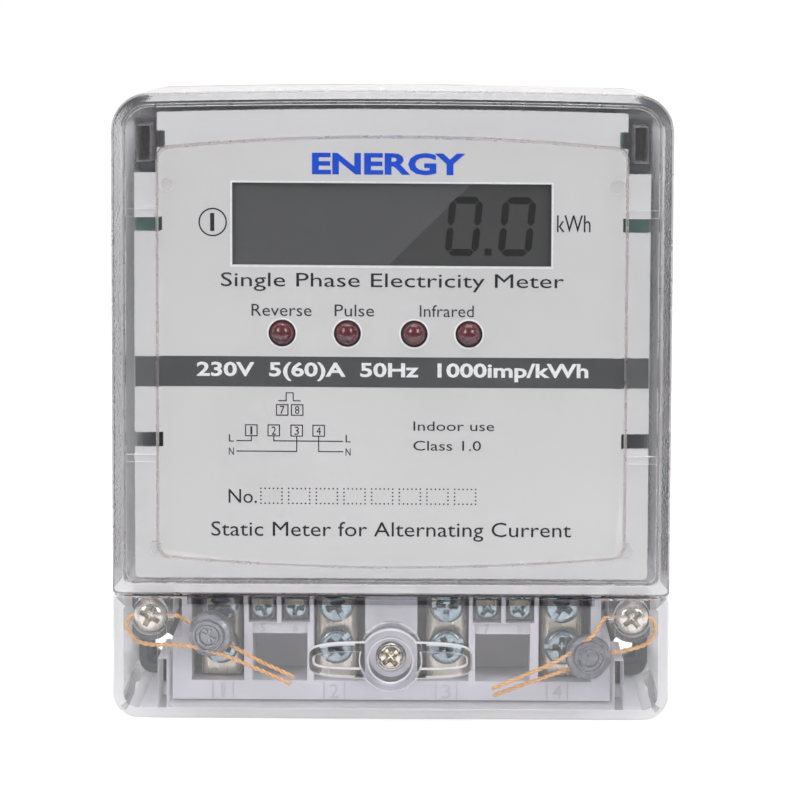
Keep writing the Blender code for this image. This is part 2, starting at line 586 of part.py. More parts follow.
def board_parts():
    """The parts on the back of the board: measuring, counting, power supply and pulse output."""
    seat = BOARD_BACK - GAP
    black = ("black_epoxy", (0.015, 0.015, 0.017), 0.45)
    chip = box("metering_chip", (-30 * MM, -19.7 * MM), (43.4 * MM, seat), (5.5 * MM, 13 * MM))
    paint(chip, *black)
    paint(box("microcontroller", (-6 * MM, 6 * MM), (44.1 * MM, seat), (12 * MM, 24 * MM)), *black)
    crystal = rounded(12 * MM, 23 * MM, 16 * MM, 20.6 * MM, 2.2 * MM, 2.2 * MM)
    paint(prism("crystal", crystal, 42.2 * MM, seat), *BRIGHT)
    capacitor = rounded(-34 * MM, -16 * MM, -24.5 * MM, -15.5 * MM, 0.6 * MM, 0.6 * MM)
    paint(prism("supply_capacitor", capacitor, 29 * MM, seat), "yellow_plastic", (0.70, 0.50, 0.05), 0.4)
    can = [(4.6 * MM, -33 * MM), (5 * MM, -33.4 * MM), (5 * MM, -seat)]
    paint(turned("electrolytic_capacitor", -7 * MM, -18 * MM, can, 20), "blue_sleeve", (0.03, 0.05, 0.15), 0.35)
    varistor = rod("varistor", (5 * MM, -38.4 * MM, -18 * MM), (9 * MM, -38.4 * MM, -18 * MM), 7 * MM, 24)
    paint(varistor, "blue_epoxy", (0.02, 0.12, 0.35), 0.4)
    paint(box("optocoupler", (18 * MM, 24.5 * MM), (42.2 * MM, seat), (-12 * MM, -7.4 * MM)), *black)


# ---------------------------------------------------------------- wires and seals


def smooth_route(points, step):
    """Points about one step apart on a smooth curve through the given points."""
    nodes = [Vector(p) for p in points]
    nodes = [2 * nodes[0] - nodes[1], *nodes, 2 * nodes[-1] - nodes[-2]]
    fine = [nodes[1]]
    for before, start, end, after in zip(nodes, nodes[1:], nodes[2:], nodes[3:]):
        for i in range(1, 25):
            t = i / 24
            a = 2 * start + (end - before) * t
            b = (2 * before - 5 * start + 4 * end - after) * t * t
            c = (3 * start - before - 3 * end + after) * t * t * t
            fine.append((a + b + c) / 2)
    walked = [0.0]
    for here, there in zip(fine, fine[1:]):
        walked.append(walked[-1] + (there - here).length)
    count = max(round(walked[-1] / step), 2)
    route, k = [], 0
    for i in range(count + 1):
        target = walked[-1] * i / count
        while k < len(walked) - 2 and walked[k + 1] < target:
            k += 1
        share = (target - walked[k]) / (walked[k + 1] - walked[k])
        route.append(fine[k].lerp(fine[k + 1], min(share, 1.0)))
    return route


def wire(name, points, radius, look, step=WIRE_STEP):
    """A round wire along a smooth curve through points given in millimetres."""
    route = smooth_route([(x * MM, y * MM, z * MM) for x, y, z in points], step)
    curve = bpy.data.curves.new(name, "CURVE")
    curve.dimensions = "3D"
    curve.bevel_depth = radius
    curve.bevel_resolution = 2
    curve.use_fill_caps = True
    spline = curve.splines.new("POLY")
    spline.points.add(len(route) - 1)
    for point, place in zip(spline.points, route):
        point.co = (*place, 1.0)
    curve.materials.append(material(*look))
    obj = bpy.data.objects.new(name, curve)
    bpy.context.scene.collection.objects.link(obj)
    return obj


# Each leg starts inside the hole through its cover screw's head, runs through the seal and ends
# free. The two inner points named for a leg's seal hole are also the ends of that hole.
SEAL_LEGS = {
    "left_upper": [
        (-48.4, -51.2, -43.0), (-46.0, -51.2, -43.0), (-43.5, -51.2, -43.1), (-41.6, -50.2, -44.3),
        (-39.5, -49.4, -45.6), (-36.4, -49.3, -47.3), (-33.3, -49.2, -49.0), (-30.2, -50.0, -50.6),
        (-26.0, -50.9, -52.7), (-22.5, -51.4, -54.2), (-19.6, -51.6, -55.5),
    ],
    "left_lower": [
        (-49.0, -51.2, -43.0), (-50.8, -51.2, -43.0), (-52.3, -51.2, -43.1), (-53.3, -51.2, -44.2),
        (-53.2, -51.2, -46.3), (-51.6, -51.0, -48.3), (-48.6, -50.8, -49.1), (-45.2, -50.9, -49.1),
        (-41.6, -51.5, -49.2), (-38.8, -51.6, -49.7), (-35.6, -51.5, -50.6), (-32.0, -51.3, -51.9),
        (-27.5, -51.6, -53.7), (-23.5, -51.9, -55.4), (-20.2, -52.0, -56.9),
    ],
    "right_upper": [
        (48.4, -51.2, -43.0), (46.0, -51.2, -43.0), (43.5, -51.2, -43.1), (42.0, -51.6, -44.9),
        (40.8, -51.8, -46.7), (38.4, -51.8, -48.6), (35.6, -51.7, -50.8), (31.8, -51.5, -52.9),
        (27.5, -51.4, -54.8), (23.6, -51.6, -56.4), (20.6, -51.9, -57.6),
    ],
    "right_lower": [
        (49.0, -51.2, -43.0), (50.8, -51.2, -43.0), (52.3, -51.2, -43.1), (53.3, -51.2, -44.2),
        (53.3, -51.2, -46.4), (51.9, -51.0, -48.3), (49.4, -50.6, -49.4), (46.9, -50.1, -50.0),
        (44.4, -49.7, -50.6), (40.6, -49.6, -52.1), (36.4, -49.8, -53.8), (32.2, -50.3, -55.2),
        (27.6, -50.7, -56.7), (23.8, -50.9, -58.1), (20.8, -51.1, -59.2),
    ],
}
SEALS = {
    "left": {"centre": (-36.6, -50.2, -47.0), "tilt": -10, "lean": 3},
    "right": {"centre": (40.0, -50.5, -51.2), "tilt": 5, "lean": -4},
}
SEAL_HOLES = {
    "left_upper": ((-39.5, -49.4, -45.6), (-33.3, -49.2, -49.0)),
    "left_lower": ((-38.8, -51.6, -49.7), (-35.6, -51.5, -50.6)),
    "right_upper": ((40.8, -51.8, -46.7), (35.6, -51.7, -50.8)),
    "right_lower": ((44.4, -49.7, -50.6), (36.4, -49.8, -53.8)),
}


def seal(side, place):
    """A crimped lead seal: a thick disc with a stamped face, and two holes for the wire's two legs."""
    centre = Vector([value * MM for value in place["centre"]])
    half = SEAL_THICKNESS / 2
    rim = SEAL_RADIUS
    profile = [(0.80 * rim, half), (0.97 * rim, 0.65 * half), (rim, 0.1 * half), (0.97 * rim, -0.45 * half)]
    profile += [(0.72 * rim, -0.62 * half), (0.64 * rim, -half), (0.2 * rim, -half)]
    disc = turned(f"seal_{side}", 0, 0, profile, 24)
    turn = Matrix.Rotation(math.radians(place["tilt"]), 4, "Z") @ Matrix.Rotation(math.radians(place["lean"]), 4, "X")
    disc.data.transform(Matrix.Translation(centre) @ turn)
    for leg, (start, end) in SEAL_HOLES.items():
        if leg.startswith(side):
            start, end = Vector(start) * MM, Vector(end) * MM
            reach = (end - start).normalized() * 9 * MM
            middle = (start + end) / 2
            cut(disc, rod(f"seal_hole_{leg}", middle - reach, middle + reach, 1.0 * MM, 12))
    return paint(set_origin(disc, centre), "dull_lead", (0.27, 0.27, 0.29), 0.5, 1.0)


def seals_and_wires():
    copper = ("bare_copper_wire", (0.76, 0.42, 0.20), 0.4, 1.0)
    for side, place in SEALS.items():
        seal(side, place)
    for leg, points in SEAL_LEGS.items():
        wire(f"seal_wire_{leg}", points, WIRE_RADIUS, copper)


def inner_wires():
    radius, step = 0.6 * MM, 1.6 * MM
    red = ("red_insulation", (0.45, 0.02, 0.02), 0.5)
    black = ("black_insulation", (0.02, 0.02, 0.02), 0.5)
    for name, x, look in (("pulse_wire_plus", 19.5, red), ("pulse_wire_minus", 26.2, black)):
        into = x - 1.5 if x < 22 else x - 3.5
        route = [(x, -37.2, -36.6), (x, -37.2, -33.5), (x, -38.2, -28.0), (x - 0.5, -40.6, -21.5)]
        wire(name, [*route, (into, -43.0, -16.6), (into, -45.1, -14.2)], radius, look, step)
    for name, x, look in (("sense_wire_line", -36.2, red), ("sense_wire_neutral", 14, black)):
        route = [(x, -35.0, -25.6), (x, -35.8, -23.4), (x, -38.8, -21.6), (x, -42.4, -20.8), (x, -45.6, -20.6)]
        wire(name, route, radius, look, step)


clear_scene()
base_case()
main_cover()
case_screws(terminal_cover())
terminal_block()
main_terminals()
aux_terminals()
conductors()
dial_plate()
circuit_board()
display()
leds()
board_parts()
seals_and_wires()
inner_wires()
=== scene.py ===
"""The looks of a single-phase electricity meter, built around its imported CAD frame.

Metres, +Z up, and the front faces -Y. "Depth" is how far something stands out from the wall, so a
point at depth d has y = -d. Covers, screws, lamps, seals and wires are remade here at a finer
resolution. The block, the base, the terminals and the board's parts are bevelled copies of their CAD
meshes. The plate, the board, the display and the small wires are the CAD meshes in finer materials.
"""

import math

import bmesh
import bpy
from mathutils import Matrix, Vector


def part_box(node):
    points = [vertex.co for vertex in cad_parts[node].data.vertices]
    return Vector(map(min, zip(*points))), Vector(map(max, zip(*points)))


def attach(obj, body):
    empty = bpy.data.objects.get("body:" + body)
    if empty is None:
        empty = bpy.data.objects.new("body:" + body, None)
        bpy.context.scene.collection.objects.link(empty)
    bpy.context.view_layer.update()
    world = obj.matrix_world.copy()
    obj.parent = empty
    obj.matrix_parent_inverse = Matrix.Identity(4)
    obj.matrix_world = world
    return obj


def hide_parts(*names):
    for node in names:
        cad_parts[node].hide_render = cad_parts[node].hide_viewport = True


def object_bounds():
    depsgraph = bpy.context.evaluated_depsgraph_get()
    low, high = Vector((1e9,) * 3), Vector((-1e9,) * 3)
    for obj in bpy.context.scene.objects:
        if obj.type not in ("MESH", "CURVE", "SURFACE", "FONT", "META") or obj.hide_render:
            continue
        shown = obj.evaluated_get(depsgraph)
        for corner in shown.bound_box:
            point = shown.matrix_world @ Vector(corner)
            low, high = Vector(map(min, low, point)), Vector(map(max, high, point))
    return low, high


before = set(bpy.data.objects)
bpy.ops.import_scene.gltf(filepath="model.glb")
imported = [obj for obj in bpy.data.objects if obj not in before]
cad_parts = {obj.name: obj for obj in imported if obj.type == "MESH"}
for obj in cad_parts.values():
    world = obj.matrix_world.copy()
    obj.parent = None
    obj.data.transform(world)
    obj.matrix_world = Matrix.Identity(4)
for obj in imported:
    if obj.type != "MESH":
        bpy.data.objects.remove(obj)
cad_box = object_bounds()

MM = 0.001
scene = bpy.context.scene


# ---- camera

CAMERA_PLACE = (0.0096, -0.8362, 0.0805)
CAMERA_YAW, CAMERA_PITCH, CAMERA_ROLL = math.radians(-0.58), math.radians(5.79), math.radians(0.21)

camera = bpy.data.objects.new("camera", bpy.data.cameras.new("camera"))
scene.collection.objects.link(camera)
camera.data.sensor_width = 36
camera.data.lens = 176.3
camera.data.clip_start = 0.01
aim = Matrix.Rotation(-CAMERA_YAW, 4, "Z") @ Matrix.Rotation(math.pi / 2 - CAMERA_PITCH, 4, "X")
camera.matrix_world = Matrix.Translation(CAMERA_PLACE) @ aim @ Matrix.Rotation(CAMERA_ROLL, 4, "Z")
scene.camera = camera


# ---- materials


def fill(node, **values):
    """Sets a node's inputs by their names, with _ for a space."""
    for name, value in values.items():
        node.inputs[name.replace("_", " ")].default_value = value
    return node


class Look:
    """A material with a Principled shader, built up one detail at a time."""

    def __init__(self, name, colour, roughness, metallic=0.0, **sockets):
        self.material = bpy.data.materials.new(name)
        self.material.use_nodes = True
        self.nodes, self.links = self.material.node_tree.nodes, self.material.node_tree.links
        self.shader = self.nodes["Principled BSDF"]
        self.colour, self.roughness, self.place = colour, roughness, None
        fill(self.shader, Base_Color=(*colour, 1), Roughness=roughness, Metallic=metallic, **sockets)

    def coordinates(self):
        if self.place is None:
            self.place = self.nodes.new("ShaderNodeTexCoord").outputs["Object"]
        return self.place

    def noise(self, size, detail=3.0, stretch=(1, 1, 1)):
        """A noise whose lumps are about this many metres across, stretched along an axis if asked."""
        mapping = fill(self.nodes.new("ShaderNodeMapping"), Scale=stretch)
        self.links.new(self.coordinates(), mapping.inputs["Vector"])
        texture = fill(self.nodes.new("ShaderNodeTexNoise"), Scale=1 / size, Detail=detail)
        self.links.new(mapping.outputs["Vector"], texture.inputs["Vector"])
        return texture.outputs["Fac"]

    def between(self, factor, low, high):
        """The factor, from 0.3 to 0.7, taken to a value from low to high."""
        spread = self.nodes.new("ShaderNodeMapRange")
        fill(spread, From_Min=0.3, From_Max=0.7, To_Min=low, To_Max=high)
        self.links.new(factor, spread.inputs["Value"])
        return spread.outputs["Result"]

    def vary_roughness(self, size, amount, **options):
        noise = self.noise(size, **options)
        value = self.between(noise, max(self.roughness - amount, 0.02), self.roughness + amount)
        self.links.new(value, self.shader.inputs["Roughness"])
        return self

    def vary_colour(self, size, other, **options):
        """The colour drifts towards another one in patches of the given size."""
        mix = self.nodes.new("ShaderNodeMix")
        mix.data_type = "RGBA"
        fill(mix, A=(*self.colour, 1), B=(*other, 1))
        self.links.new(self.between(self.noise(size, **options), 0, 1), mix.inputs["Factor"])
        self.links.new(mix.outputs["Result"], self.shader.inputs["Base Color"])
        return self

    def bump(self, size, height, **options):
        node = fill(self.nodes.new("ShaderNodeBump"), Distance=height)
        self.links.new(self.noise(size, **options), node.inputs["Height"])
        self.links.new(node.outputs["Normal"], self.shader.inputs["Normal"])
        return self

    def see_through(self, shadow):
        """Clear plastic: refracts, and lets light through to what is behind it."""
        path = self.nodes.new("ShaderNodeLightPath")
        clear = fill(self.nodes.new("ShaderNodeBsdfTransparent"), Color=(*shadow, 1))
        mix = self.nodes.new("ShaderNodeMixShader")
        self.links.new(path.outputs["Is Shadow Ray"], mix.inputs["Fac"])
        self.links.new(self.shader.outputs["BSDF"], mix.inputs[1])
        self.links.new(clear.outputs["BSDF"], mix.inputs[2])
        self.links.new(mix.outputs["Shader"], self.nodes["Material Output"].inputs["Surface"])
        return self


PLASTIC = {"Transmission_Weight": 1.0, "IOR": 1.55}
HAZY = {"Transmission_Weight": 0.96, "IOR": 1.5}
DULL = {"Specular_IOR_Level": 0.12}
GROOVED = {"Transmission_Weight": 0.8, "IOR": 1.5}
MILKY = {"Transmission_Weight": 0.5, "IOR": 1.5}
VEILED = {"Transmission_Weight": 0.88, "IOR": 1.5, "Sheen_Weight": 1.0, "Sheen_Roughness": 0.32}
CLEAR = Look("clear_plastic", (0.97, 0.97, 0.98), 0.03, **PLASTIC)
CLEAR.vary_roughness(0.012, 0.015).bump(0.006, 0.000004).see_through((0.9, 0.9, 0.92))
FROSTED = Look("frosted_plastic", (0.90, 0.90, 0.92), 0.13, **HAZY)
FROSTED.vary_roughness(0.004, 0.05).bump(0.00035, 0.00003).see_through((0.88, 0.88, 0.90))
SKIRTING = Look("skirt_plastic", (0.97, 0.965, 0.975), 0.22, **VEILED)
SKIRTING.vary_roughness(0.012, 0.04).bump(0.005, 0.000002).see_through((0.86, 0.86, 0.88))
BANDED = Look("milky_plastic", (0.90, 0.895, 0.91), 0.35, **MILKY)
BANDED.vary_roughness(0.006, 0.05).bump(0.003, 0.000006).see_through((0.86, 0.86, 0.88))
# The darker brownish tint is painted shade: it draws the rim groove, the panel's edge, the pins and the
# latches as dark lines.
GROOVE_SHADE = Look("groove_plastic_painted_shade", (0.50, 0.45, 0.45), 0.3, **GROOVED)
GROOVE_SHADE.vary_roughness(0.003, 0.1).bump(0.003, 0.000002).see_through((0.8, 0.8, 0.8))

# The covers' finishes, and the places of all but the clear one in the list.
COVER_LOOKS = [CLEAR, FROSTED, SKIRTING, GROOVE_SHADE, BANDED]
FROSTED_FACE, SKIRT_FACE, LINED_FACE, BANDED_FACE = 1, 2, 3, 4

BASE = Look("dark_grey_plastic", (0.044, 0.046, 0.052), 0.5, **DULL)
BASE.vary_colour(0.015, (0.068, 0.070, 0.078)).vary_roughness(0.004, 0.08).bump(0.0004, 0.00003)
BLOCK = Look("light_grey_plastic", (0.63, 0.62, 0.66), 0.42)
BLOCK.vary_colour(0.010, (0.58, 0.57, 0.61)).vary_roughness(0.003, 0.08).bump(0.0005, 0.00002)
# The raised numbers are the block's own plastic, coloured darker as painted shade along their relief.
EMBOSSED_SHADE = Look("embossed_plastic_painted_shade", (0.47, 0.465, 0.50), 0.45)
EMBOSSED_SHADE.vary_colour(0.002, (0.53, 0.525, 0.56)).bump(0.0005, 0.00001)
PLATE = Look("silver_grey_plate", (0.655, 0.65, 0.635), 0.42)
PLATE.vary_colour(0.05, (0.61, 0.605, 0.59)).vary_roughness(0.002, 0.05).bump(0.0003, 0.000006)
BRASS = Look("nickel_plated_brass", (0.72, 0.66, 0.57), 0.32, 1.0)
BRASS.vary_colour(0.003, (0.58, 0.52, 0.44)).vary_roughness(0.0006, 0.1, stretch=(1, 1, 0.1))
BRASS.bump(0.0004, 0.000008)
ZINC = Look("zinc_plated_steel", (0.36, 0.43, 0.47), 0.17, 1.0)
ZINC.vary_colour(0.0015, (0.24, 0.31, 0.35)).vary_roughness(0.0008, 0.09).bump(0.0006, 0.000015)
NICKEL = Look("bright_nickel", (0.76, 0.72, 0.66), 0.20, 1.0)
NICKEL.vary_colour(0.002, (0.60, 0.55, 0.49)).vary_roughness(0.0007, 0.09).bump(0.0007, 0.000015)
COPPER = Look("copper_bar", (0.76, 0.42, 0.27), 0.3, 1.0)
COPPER.vary_colour(0.003, (0.55, 0.27, 0.16)).vary_roughness(0.0008, 0.1).bump(0.0005, 0.00001)
SHUNT = Look("resistance_alloy", (0.50, 0.36, 0.30), 0.38, 1.0)
SHUNT.vary_colour(0.002, (0.38, 0.28, 0.25)).bump(0.0005, 0.00001)
WIRE = Look("bare_copper_wire", (0.86, 0.50, 0.20), 0.42, 0.4)
WIRE.vary_colour(0.0012, (0.70, 0.34, 0.11)).vary_roughness(0.0006, 0.1).bump(0.0003, 0.00002)
LEAD = Look("dull_lead", (0.33, 0.33, 0.36), 0.36, 0.95)
LEAD.vary_colour(0.0018, (0.21, 0.21, 0.24)).vary_roughness(0.0008, 0.12).bump(0.0009, 0.00016)
LAMP = Look("dark_red_epoxy", (0.115, 0.010, 0.017), 0.10, Coat_Weight=1.0, Coat_Roughness=0.04)
LAMP.vary_colour(0.0015, (0.085, 0.007, 0.012)).vary_roughness(0.001, 0.03).bump(0.0012, 0.00001)
BOARD = Look("green_solder_mask", (0.035, 0.11, 0.085), 0.32, Coat_Weight=0.4)
BOARD.vary_colour(0.0022, (0.06, 0.17, 0.13), detail=0.5).bump(0.0011, 0.00003, detail=0.5)
HOLDER = Look("black_plastic", (0.02, 0.02, 0.022), 0.45)
HOLDER.bump(0.0004, 0.00002).vary_roughness(0.003, 0.08)
CHIP = Look("black_epoxy", (0.018, 0.018, 0.02), 0.42)
CHIP.bump(0.00025, 0.00002).vary_roughness(0.002, 0.08)
FILM = Look("yellow_film_box", (0.70, 0.50, 0.06), 0.35)
FILM.vary_colour(0.006, (0.62, 0.42, 0.04)).bump(0.001, 0.00002)
SLEEVE = Look("blue_sleeve", (0.03, 0.05, 0.16), 0.28)
SLEEVE.vary_colour(0.004, (0.02, 0.035, 0.11)).bump(0.002, 0.00003)
DIPPED = Look("blue_epoxy", (0.02, 0.13, 0.38), 0.3)
DIPPED.vary_colour(0.003, (0.015, 0.09, 0.28)).bump(0.0014, 0.0001)
RED_WIRE = Look("red_insulation", (0.45, 0.02, 0.02), 0.4)
RED_WIRE.vary_colour(0.003, (0.36, 0.015, 0.015)).bump(0.001, 0.00001)
BLACK_WIRE = Look("black_insulation", (0.02, 0.02, 0.02), 0.4)
BLACK_WIRE.vary_roughness(0.002, 0.1).bump(0.001, 0.00001)
SEGMENT = Look("display_segment", (0.010, 0.010, 0.010), 0.5, Specular_IOR_Level=0.1)
SEGMENT.vary_colour(0.004, (0.018, 0.018, 0.018))


def ink(name, colour, other, patches, grain=0.0002, height=0.000002):
    """A matt ink whose colour drifts towards another one in patches."""
    return Look(name, colour, 0.6, **DULL).vary_colour(patches, other).bump(grain, height)


BLACK_INK = ink("black_ink", (0.012, 0.012, 0.014), (0.03, 0.03, 0.034), 0.0005)
GREY_INK = ink("grey_ink", (0.030, 0.028, 0.030), (0.055, 0.052, 0.055), 0.0005)
WHITE_INK = ink("white_ink", (0.90, 0.90, 0.90), (0.76, 0.76, 0.76), 0.0008)
BLUE_INK = ink("blue_ink", (0.0, 0.075, 0.62), (0.0, 0.06, 0.55), 0.002)
BAND_INK = ink("band_ink", (0.070, 0.072, 0.074), (0.082, 0.084, 0.086), 0.01, 0.0003, 0.000003)


def display_look():
    """Dark polarised glass, with a painted reflection making it a step lighter on one side of a slanting
    line.
    """
    look = Look("display_glass", (0.105, 0.105, 0.105), 0.35, Specular_IOR_Level=0.15)
    split = look.nodes.new("ShaderNodeVectorMath")
    split.operation = "DOT_PRODUCT"
    split.inputs[1].default_value = (0.70, 0, -0.71)
    look.links.new(look.coordinates(), split.inputs[0])
    step = fill(look.nodes.new("ShaderNodeMapRange"), From_Min=-0.0205, From_Max=-0.0203)
    look.links.new(split.outputs["Value"], step.inputs["Value"])
    mix = look.nodes.new("ShaderNodeMix")
    mix.data_type = "RGBA"
    # A, the lighter colour, is the painted reflection; B is the glass's own dark colour.
    fill(mix, A=(0.094, 0.094, 0.094, 1), B=(0.060, 0.060, 0.060, 1))
    look.links.new(step.outputs["Result"], mix.inputs["Factor"])
    look.links.new(mix.outputs["Result"], look.shader.inputs["Base Color"])
    return look.vary_roughness(0.006, 0.04).bump(0.002, 0.000002)


# ---- mesh helpers


def finish_mesh(obj, look, sharp=35):
    mesh = obj.data
    mesh.materials.clear()
    for one in look if isinstance(look, (list, tuple)) else [look]:
        mesh.materials.append(one.material)
    mesh.shade_smooth()
    mesh.set_sharp_from_angle(angle=math.radians(sharp))
    return obj


def mesh_of(name, bm):
    bmesh.ops.recalc_face_normals(bm, faces=bm.faces)
    mesh = bpy.data.meshes.new(name)
    bm.to_mesh(mesh)
    bm.free()
    return mesh


def new_object(name, bm, look, sharp=35):
    obj = bpy.data.objects.new(name, mesh_of(name, bm))
    scene.collection.objects.link(obj)
    return finish_mesh(obj, look, sharp)


def skin(name, rings, look=CLEAR, sharp=35):
    """A closed body through rings of equally many points, closed by a face at each end."""
    bm = bmesh.new()
    rows = [[bm.verts.new(point) for point in ring] for ring in rings]
    count = len(rows[0])
    for low, high in zip(rows, rows[1:]):
        for i in range(count):
            j = (i + 1) % count
            bm.faces.new((low[i], low[j], high[j], high[i]))
    bm.faces.new(rows[0])
    bm.faces.new(rows[-1])
    return new_object(name, bm, look, sharp)


def at_depth(outline, depth):
    return [(x, -depth, z) for x, z in outline]


def prism(name, outline, back, front, look=CLEAR):
    return skin(name, [at_depth(outline, back), at_depth(outline, front)], look)


def block(name, x, depth, z, look=CLEAR):
    return prism(name, [(x[0], z[0]), (x[1], z[0]), (x[1], z[1]), (x[0], z[1])], *depth, look)


def circle(x, z, radius, sides=64):
    angles = [math.tau * i / sides for i in range(sides)]
    return [(x + radius * math.cos(a), z + radius * math.sin(a)) for a in angles]


def turned(name, x, z, profile, look=CLEAR, sides=64, sharp=35):
    """A body turned about a line along Y through (x, z), from (radius, depth) pairs."""
    rings = [at_depth(circle(x, z, radius, sides), depth) for radius, depth in profile]
    return skin(name, rings, look, sharp)


def apply_modifiers(obj):
    """Makes the modifiers' result the object's own mesh, and removes the cutters they used."""
    helpers = [m.object for m in obj.modifiers if m.type == "BOOLEAN"]
    bpy.context.view_layer.update()
    result = bpy.data.meshes.new_from_object(obj.evaluated_get(bpy.context.evaluated_depsgraph_get()))
    obj.modifiers.clear()
    obj.data = result
    for helper in helpers:
        bpy.data.objects.remove(helper, do_unlink=True)
    return obj


def boolean(obj, others, operation):
    for other in others:
        modifier = obj.modifiers.new(other.name, "BOOLEAN")
        modifier.operation, modifier.object = operation, other
    return obj


def cut(obj, *others):
    return boolean(obj, others, "DIFFERENCE")


def join(obj, *others):
    return boolean(obj, others, "UNION")


def bevel(obj, width, segments):
    modifier = obj.modifiers.new("edges", "BEVEL")
    modifier.width, modifier.segments = width, segments
    modifier.limit_method, modifier.angle_limit = "ANGLE", math.radians(30)
    modifier.use_clamp_overlap = True
    return obj


def middle_of(node):
    """The middle of a CAD node, as seen from the front."""
    low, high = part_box(node)
    return (low.x + high.x) / 2, (low.z + high.z) / 2


def place(obj, body, slot, *replaced):
    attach(obj, body)
    if replaced:
        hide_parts(*replaced)
    return obj


def bevelled_copy(node, width, look, slot, segments):
    """A copy of a CAD node with its flat faces made whole and its edges rounded."""
    bm = bmesh.new()
    bm.from_mesh(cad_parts[node].data)
    bmesh.ops.remove_doubles(bm, verts=bm.verts, dist=0.000002)
    bmesh.ops.dissolve_limit(bm, angle_limit=math.radians(1), verts=bm.verts, edges=bm.edges)
    obj = new_object(f"{node}_finished", bm, look)
    apply_modifiers(bevel(obj, width, segments))
    finish_mesh(obj, look)
    return place(obj, "meter", slot, node)


def arc(centre_x, centre_z, radius, start, end, steps):
    angles = [math.radians(start + (end - start) * i / steps) for i in range(steps + 1)]
    return [(centre_x + radius * math.cos(a), centre_z + radius * math.sin(a)) for a in angles]


def bowed(left, right, level, bow, steps=16):
    middle, half = (left + right) / 2, (right - left) / 2
    points = [left + (right - left) * i / steps for i in range(1, steps)]
    return [(x, level + bow * (1 - ((x - middle) / half) ** 2)) for x in points]


def rounded(half, bottom, top, top_radius, bottom_radius, top_bow=0.0, bottom_bow=0.0, steps=10):
    """A rectangle with round corners, whose top and bottom edges may swell."""
    points = arc(half - top_radius, top - top_radius, top_radius, 0, 90, steps)
    points += bowed(half - top_radius, top_radius - half, top, top_bow)
    points += arc(top_radius - half, top - top_radius, top_radius, 90, 180, steps)
    points += arc(bottom_radius - half, bottom + bottom_radius, bottom_radius, 180, 270, steps)
    points += bowed(bottom_radius - half, half - bottom_radius, bottom, bottom_bow)
    points += arc(half - bottom_radius, bottom + bottom_radius, bottom_radius, 270, 360, steps)
    return points


def oval(middle_z, half_length, half_height, power=4.0, steps=64):
    points = []
    for i in range(steps):
        c, s = math.cos(math.tau * i / steps), math.sin(math.tau * i / steps)
        x = half_length * math.copysign(abs(c) ** (2 / power), c)
        z = half_height * math.copysign(abs(s) ** (2 / power), s)
        points.append((x, middle_z + z))
    return points


def mirrored(sign, x):
    return tuple(sorted((sign * x[0], sign * x[1])))


# ---- seals


def seal(side, tilt, lean):
    """A crimped lead seal: a lumpy disc with a smaller stamped face, a ring and a crossed imprint."""
    low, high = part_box(f"seal_{side}")
    centre = (low + high) / 2
    disc_radius, half = 4.65 * MM, 2.75 * MM
    profile = [(0.74, -1.0), (0.90, -0.86), (0.97, -0.55), (0.99, -0.1), (0.965, 0.30), (0.86, 0.52)]
    profile += [(0.74, 0.60), (0.70, 0.72), (0.69, 0.93), (0.655, 1.0), (0.60, 1.0), (0.565, 0.82)]
    profile += [(0.50, 0.82), (0.47, 0.98), (0.41, 0.98), (0.37, 0.76), (0.05, 0.76)]
    bm = bmesh.new()
    rows, sides = [], 72
    for radius, depth in profile:
        ring = []
        for i in range(sides):
            angle = math.tau * i / sides
            swell = 1 + 0.018 * math.sin(3 * angle + 1) + 0.014 * math.sin(7 * angle + 4 * radius)
            reach = radius * disc_radius * swell
            ring.append(bm.verts.new((reach * math.cos(angle), -depth * half, reach * math.sin(angle))))
        rows.append(ring)
    for a, b in zip(rows, rows[1:]):
        for i in range(sides):
            j = (i + 1) % sides
            bm.faces.new((a[i], a[j], b[j], b[i]))
    bm.faces.new(rows[0])
    bm.faces.new(rows[-1])
    made = new_object(f"seal_{side}_crimped", bm, LEAD)
    for angle in (25, 115, 70):
        bar = block("imprint", (-1.5 * MM, 1.5 * MM), (2.0 * MM, 2.68 * MM), (-0.2 * MM, 0.2 * MM))
        bar.data.transform(Matrix.Rotation(math.radians(angle), 4, "Y"))
        join(made, bar)
    apply_modifiers(made)
    turn = Matrix.Rotation(math.radians(tilt), 4, "Z") @ Matrix.Rotation(math.radians(lean), 4, "X")
    made.data.transform(Matrix.Translation(centre) @ turn)
    finish_mesh(made, LEAD, 40)
    return place(made, "meter", "dull_lead", f"seal_{side}")


SEALS = {"left": seal("left", -10, 3), "right": seal("right", 5, -4)}


# ---- wires through the seals

WIRE_DIAMETER = 0.9 * MM
STRANDS = 2
STRAND_PITCH = 2.6 * MM
STRAND_SIDES = 8

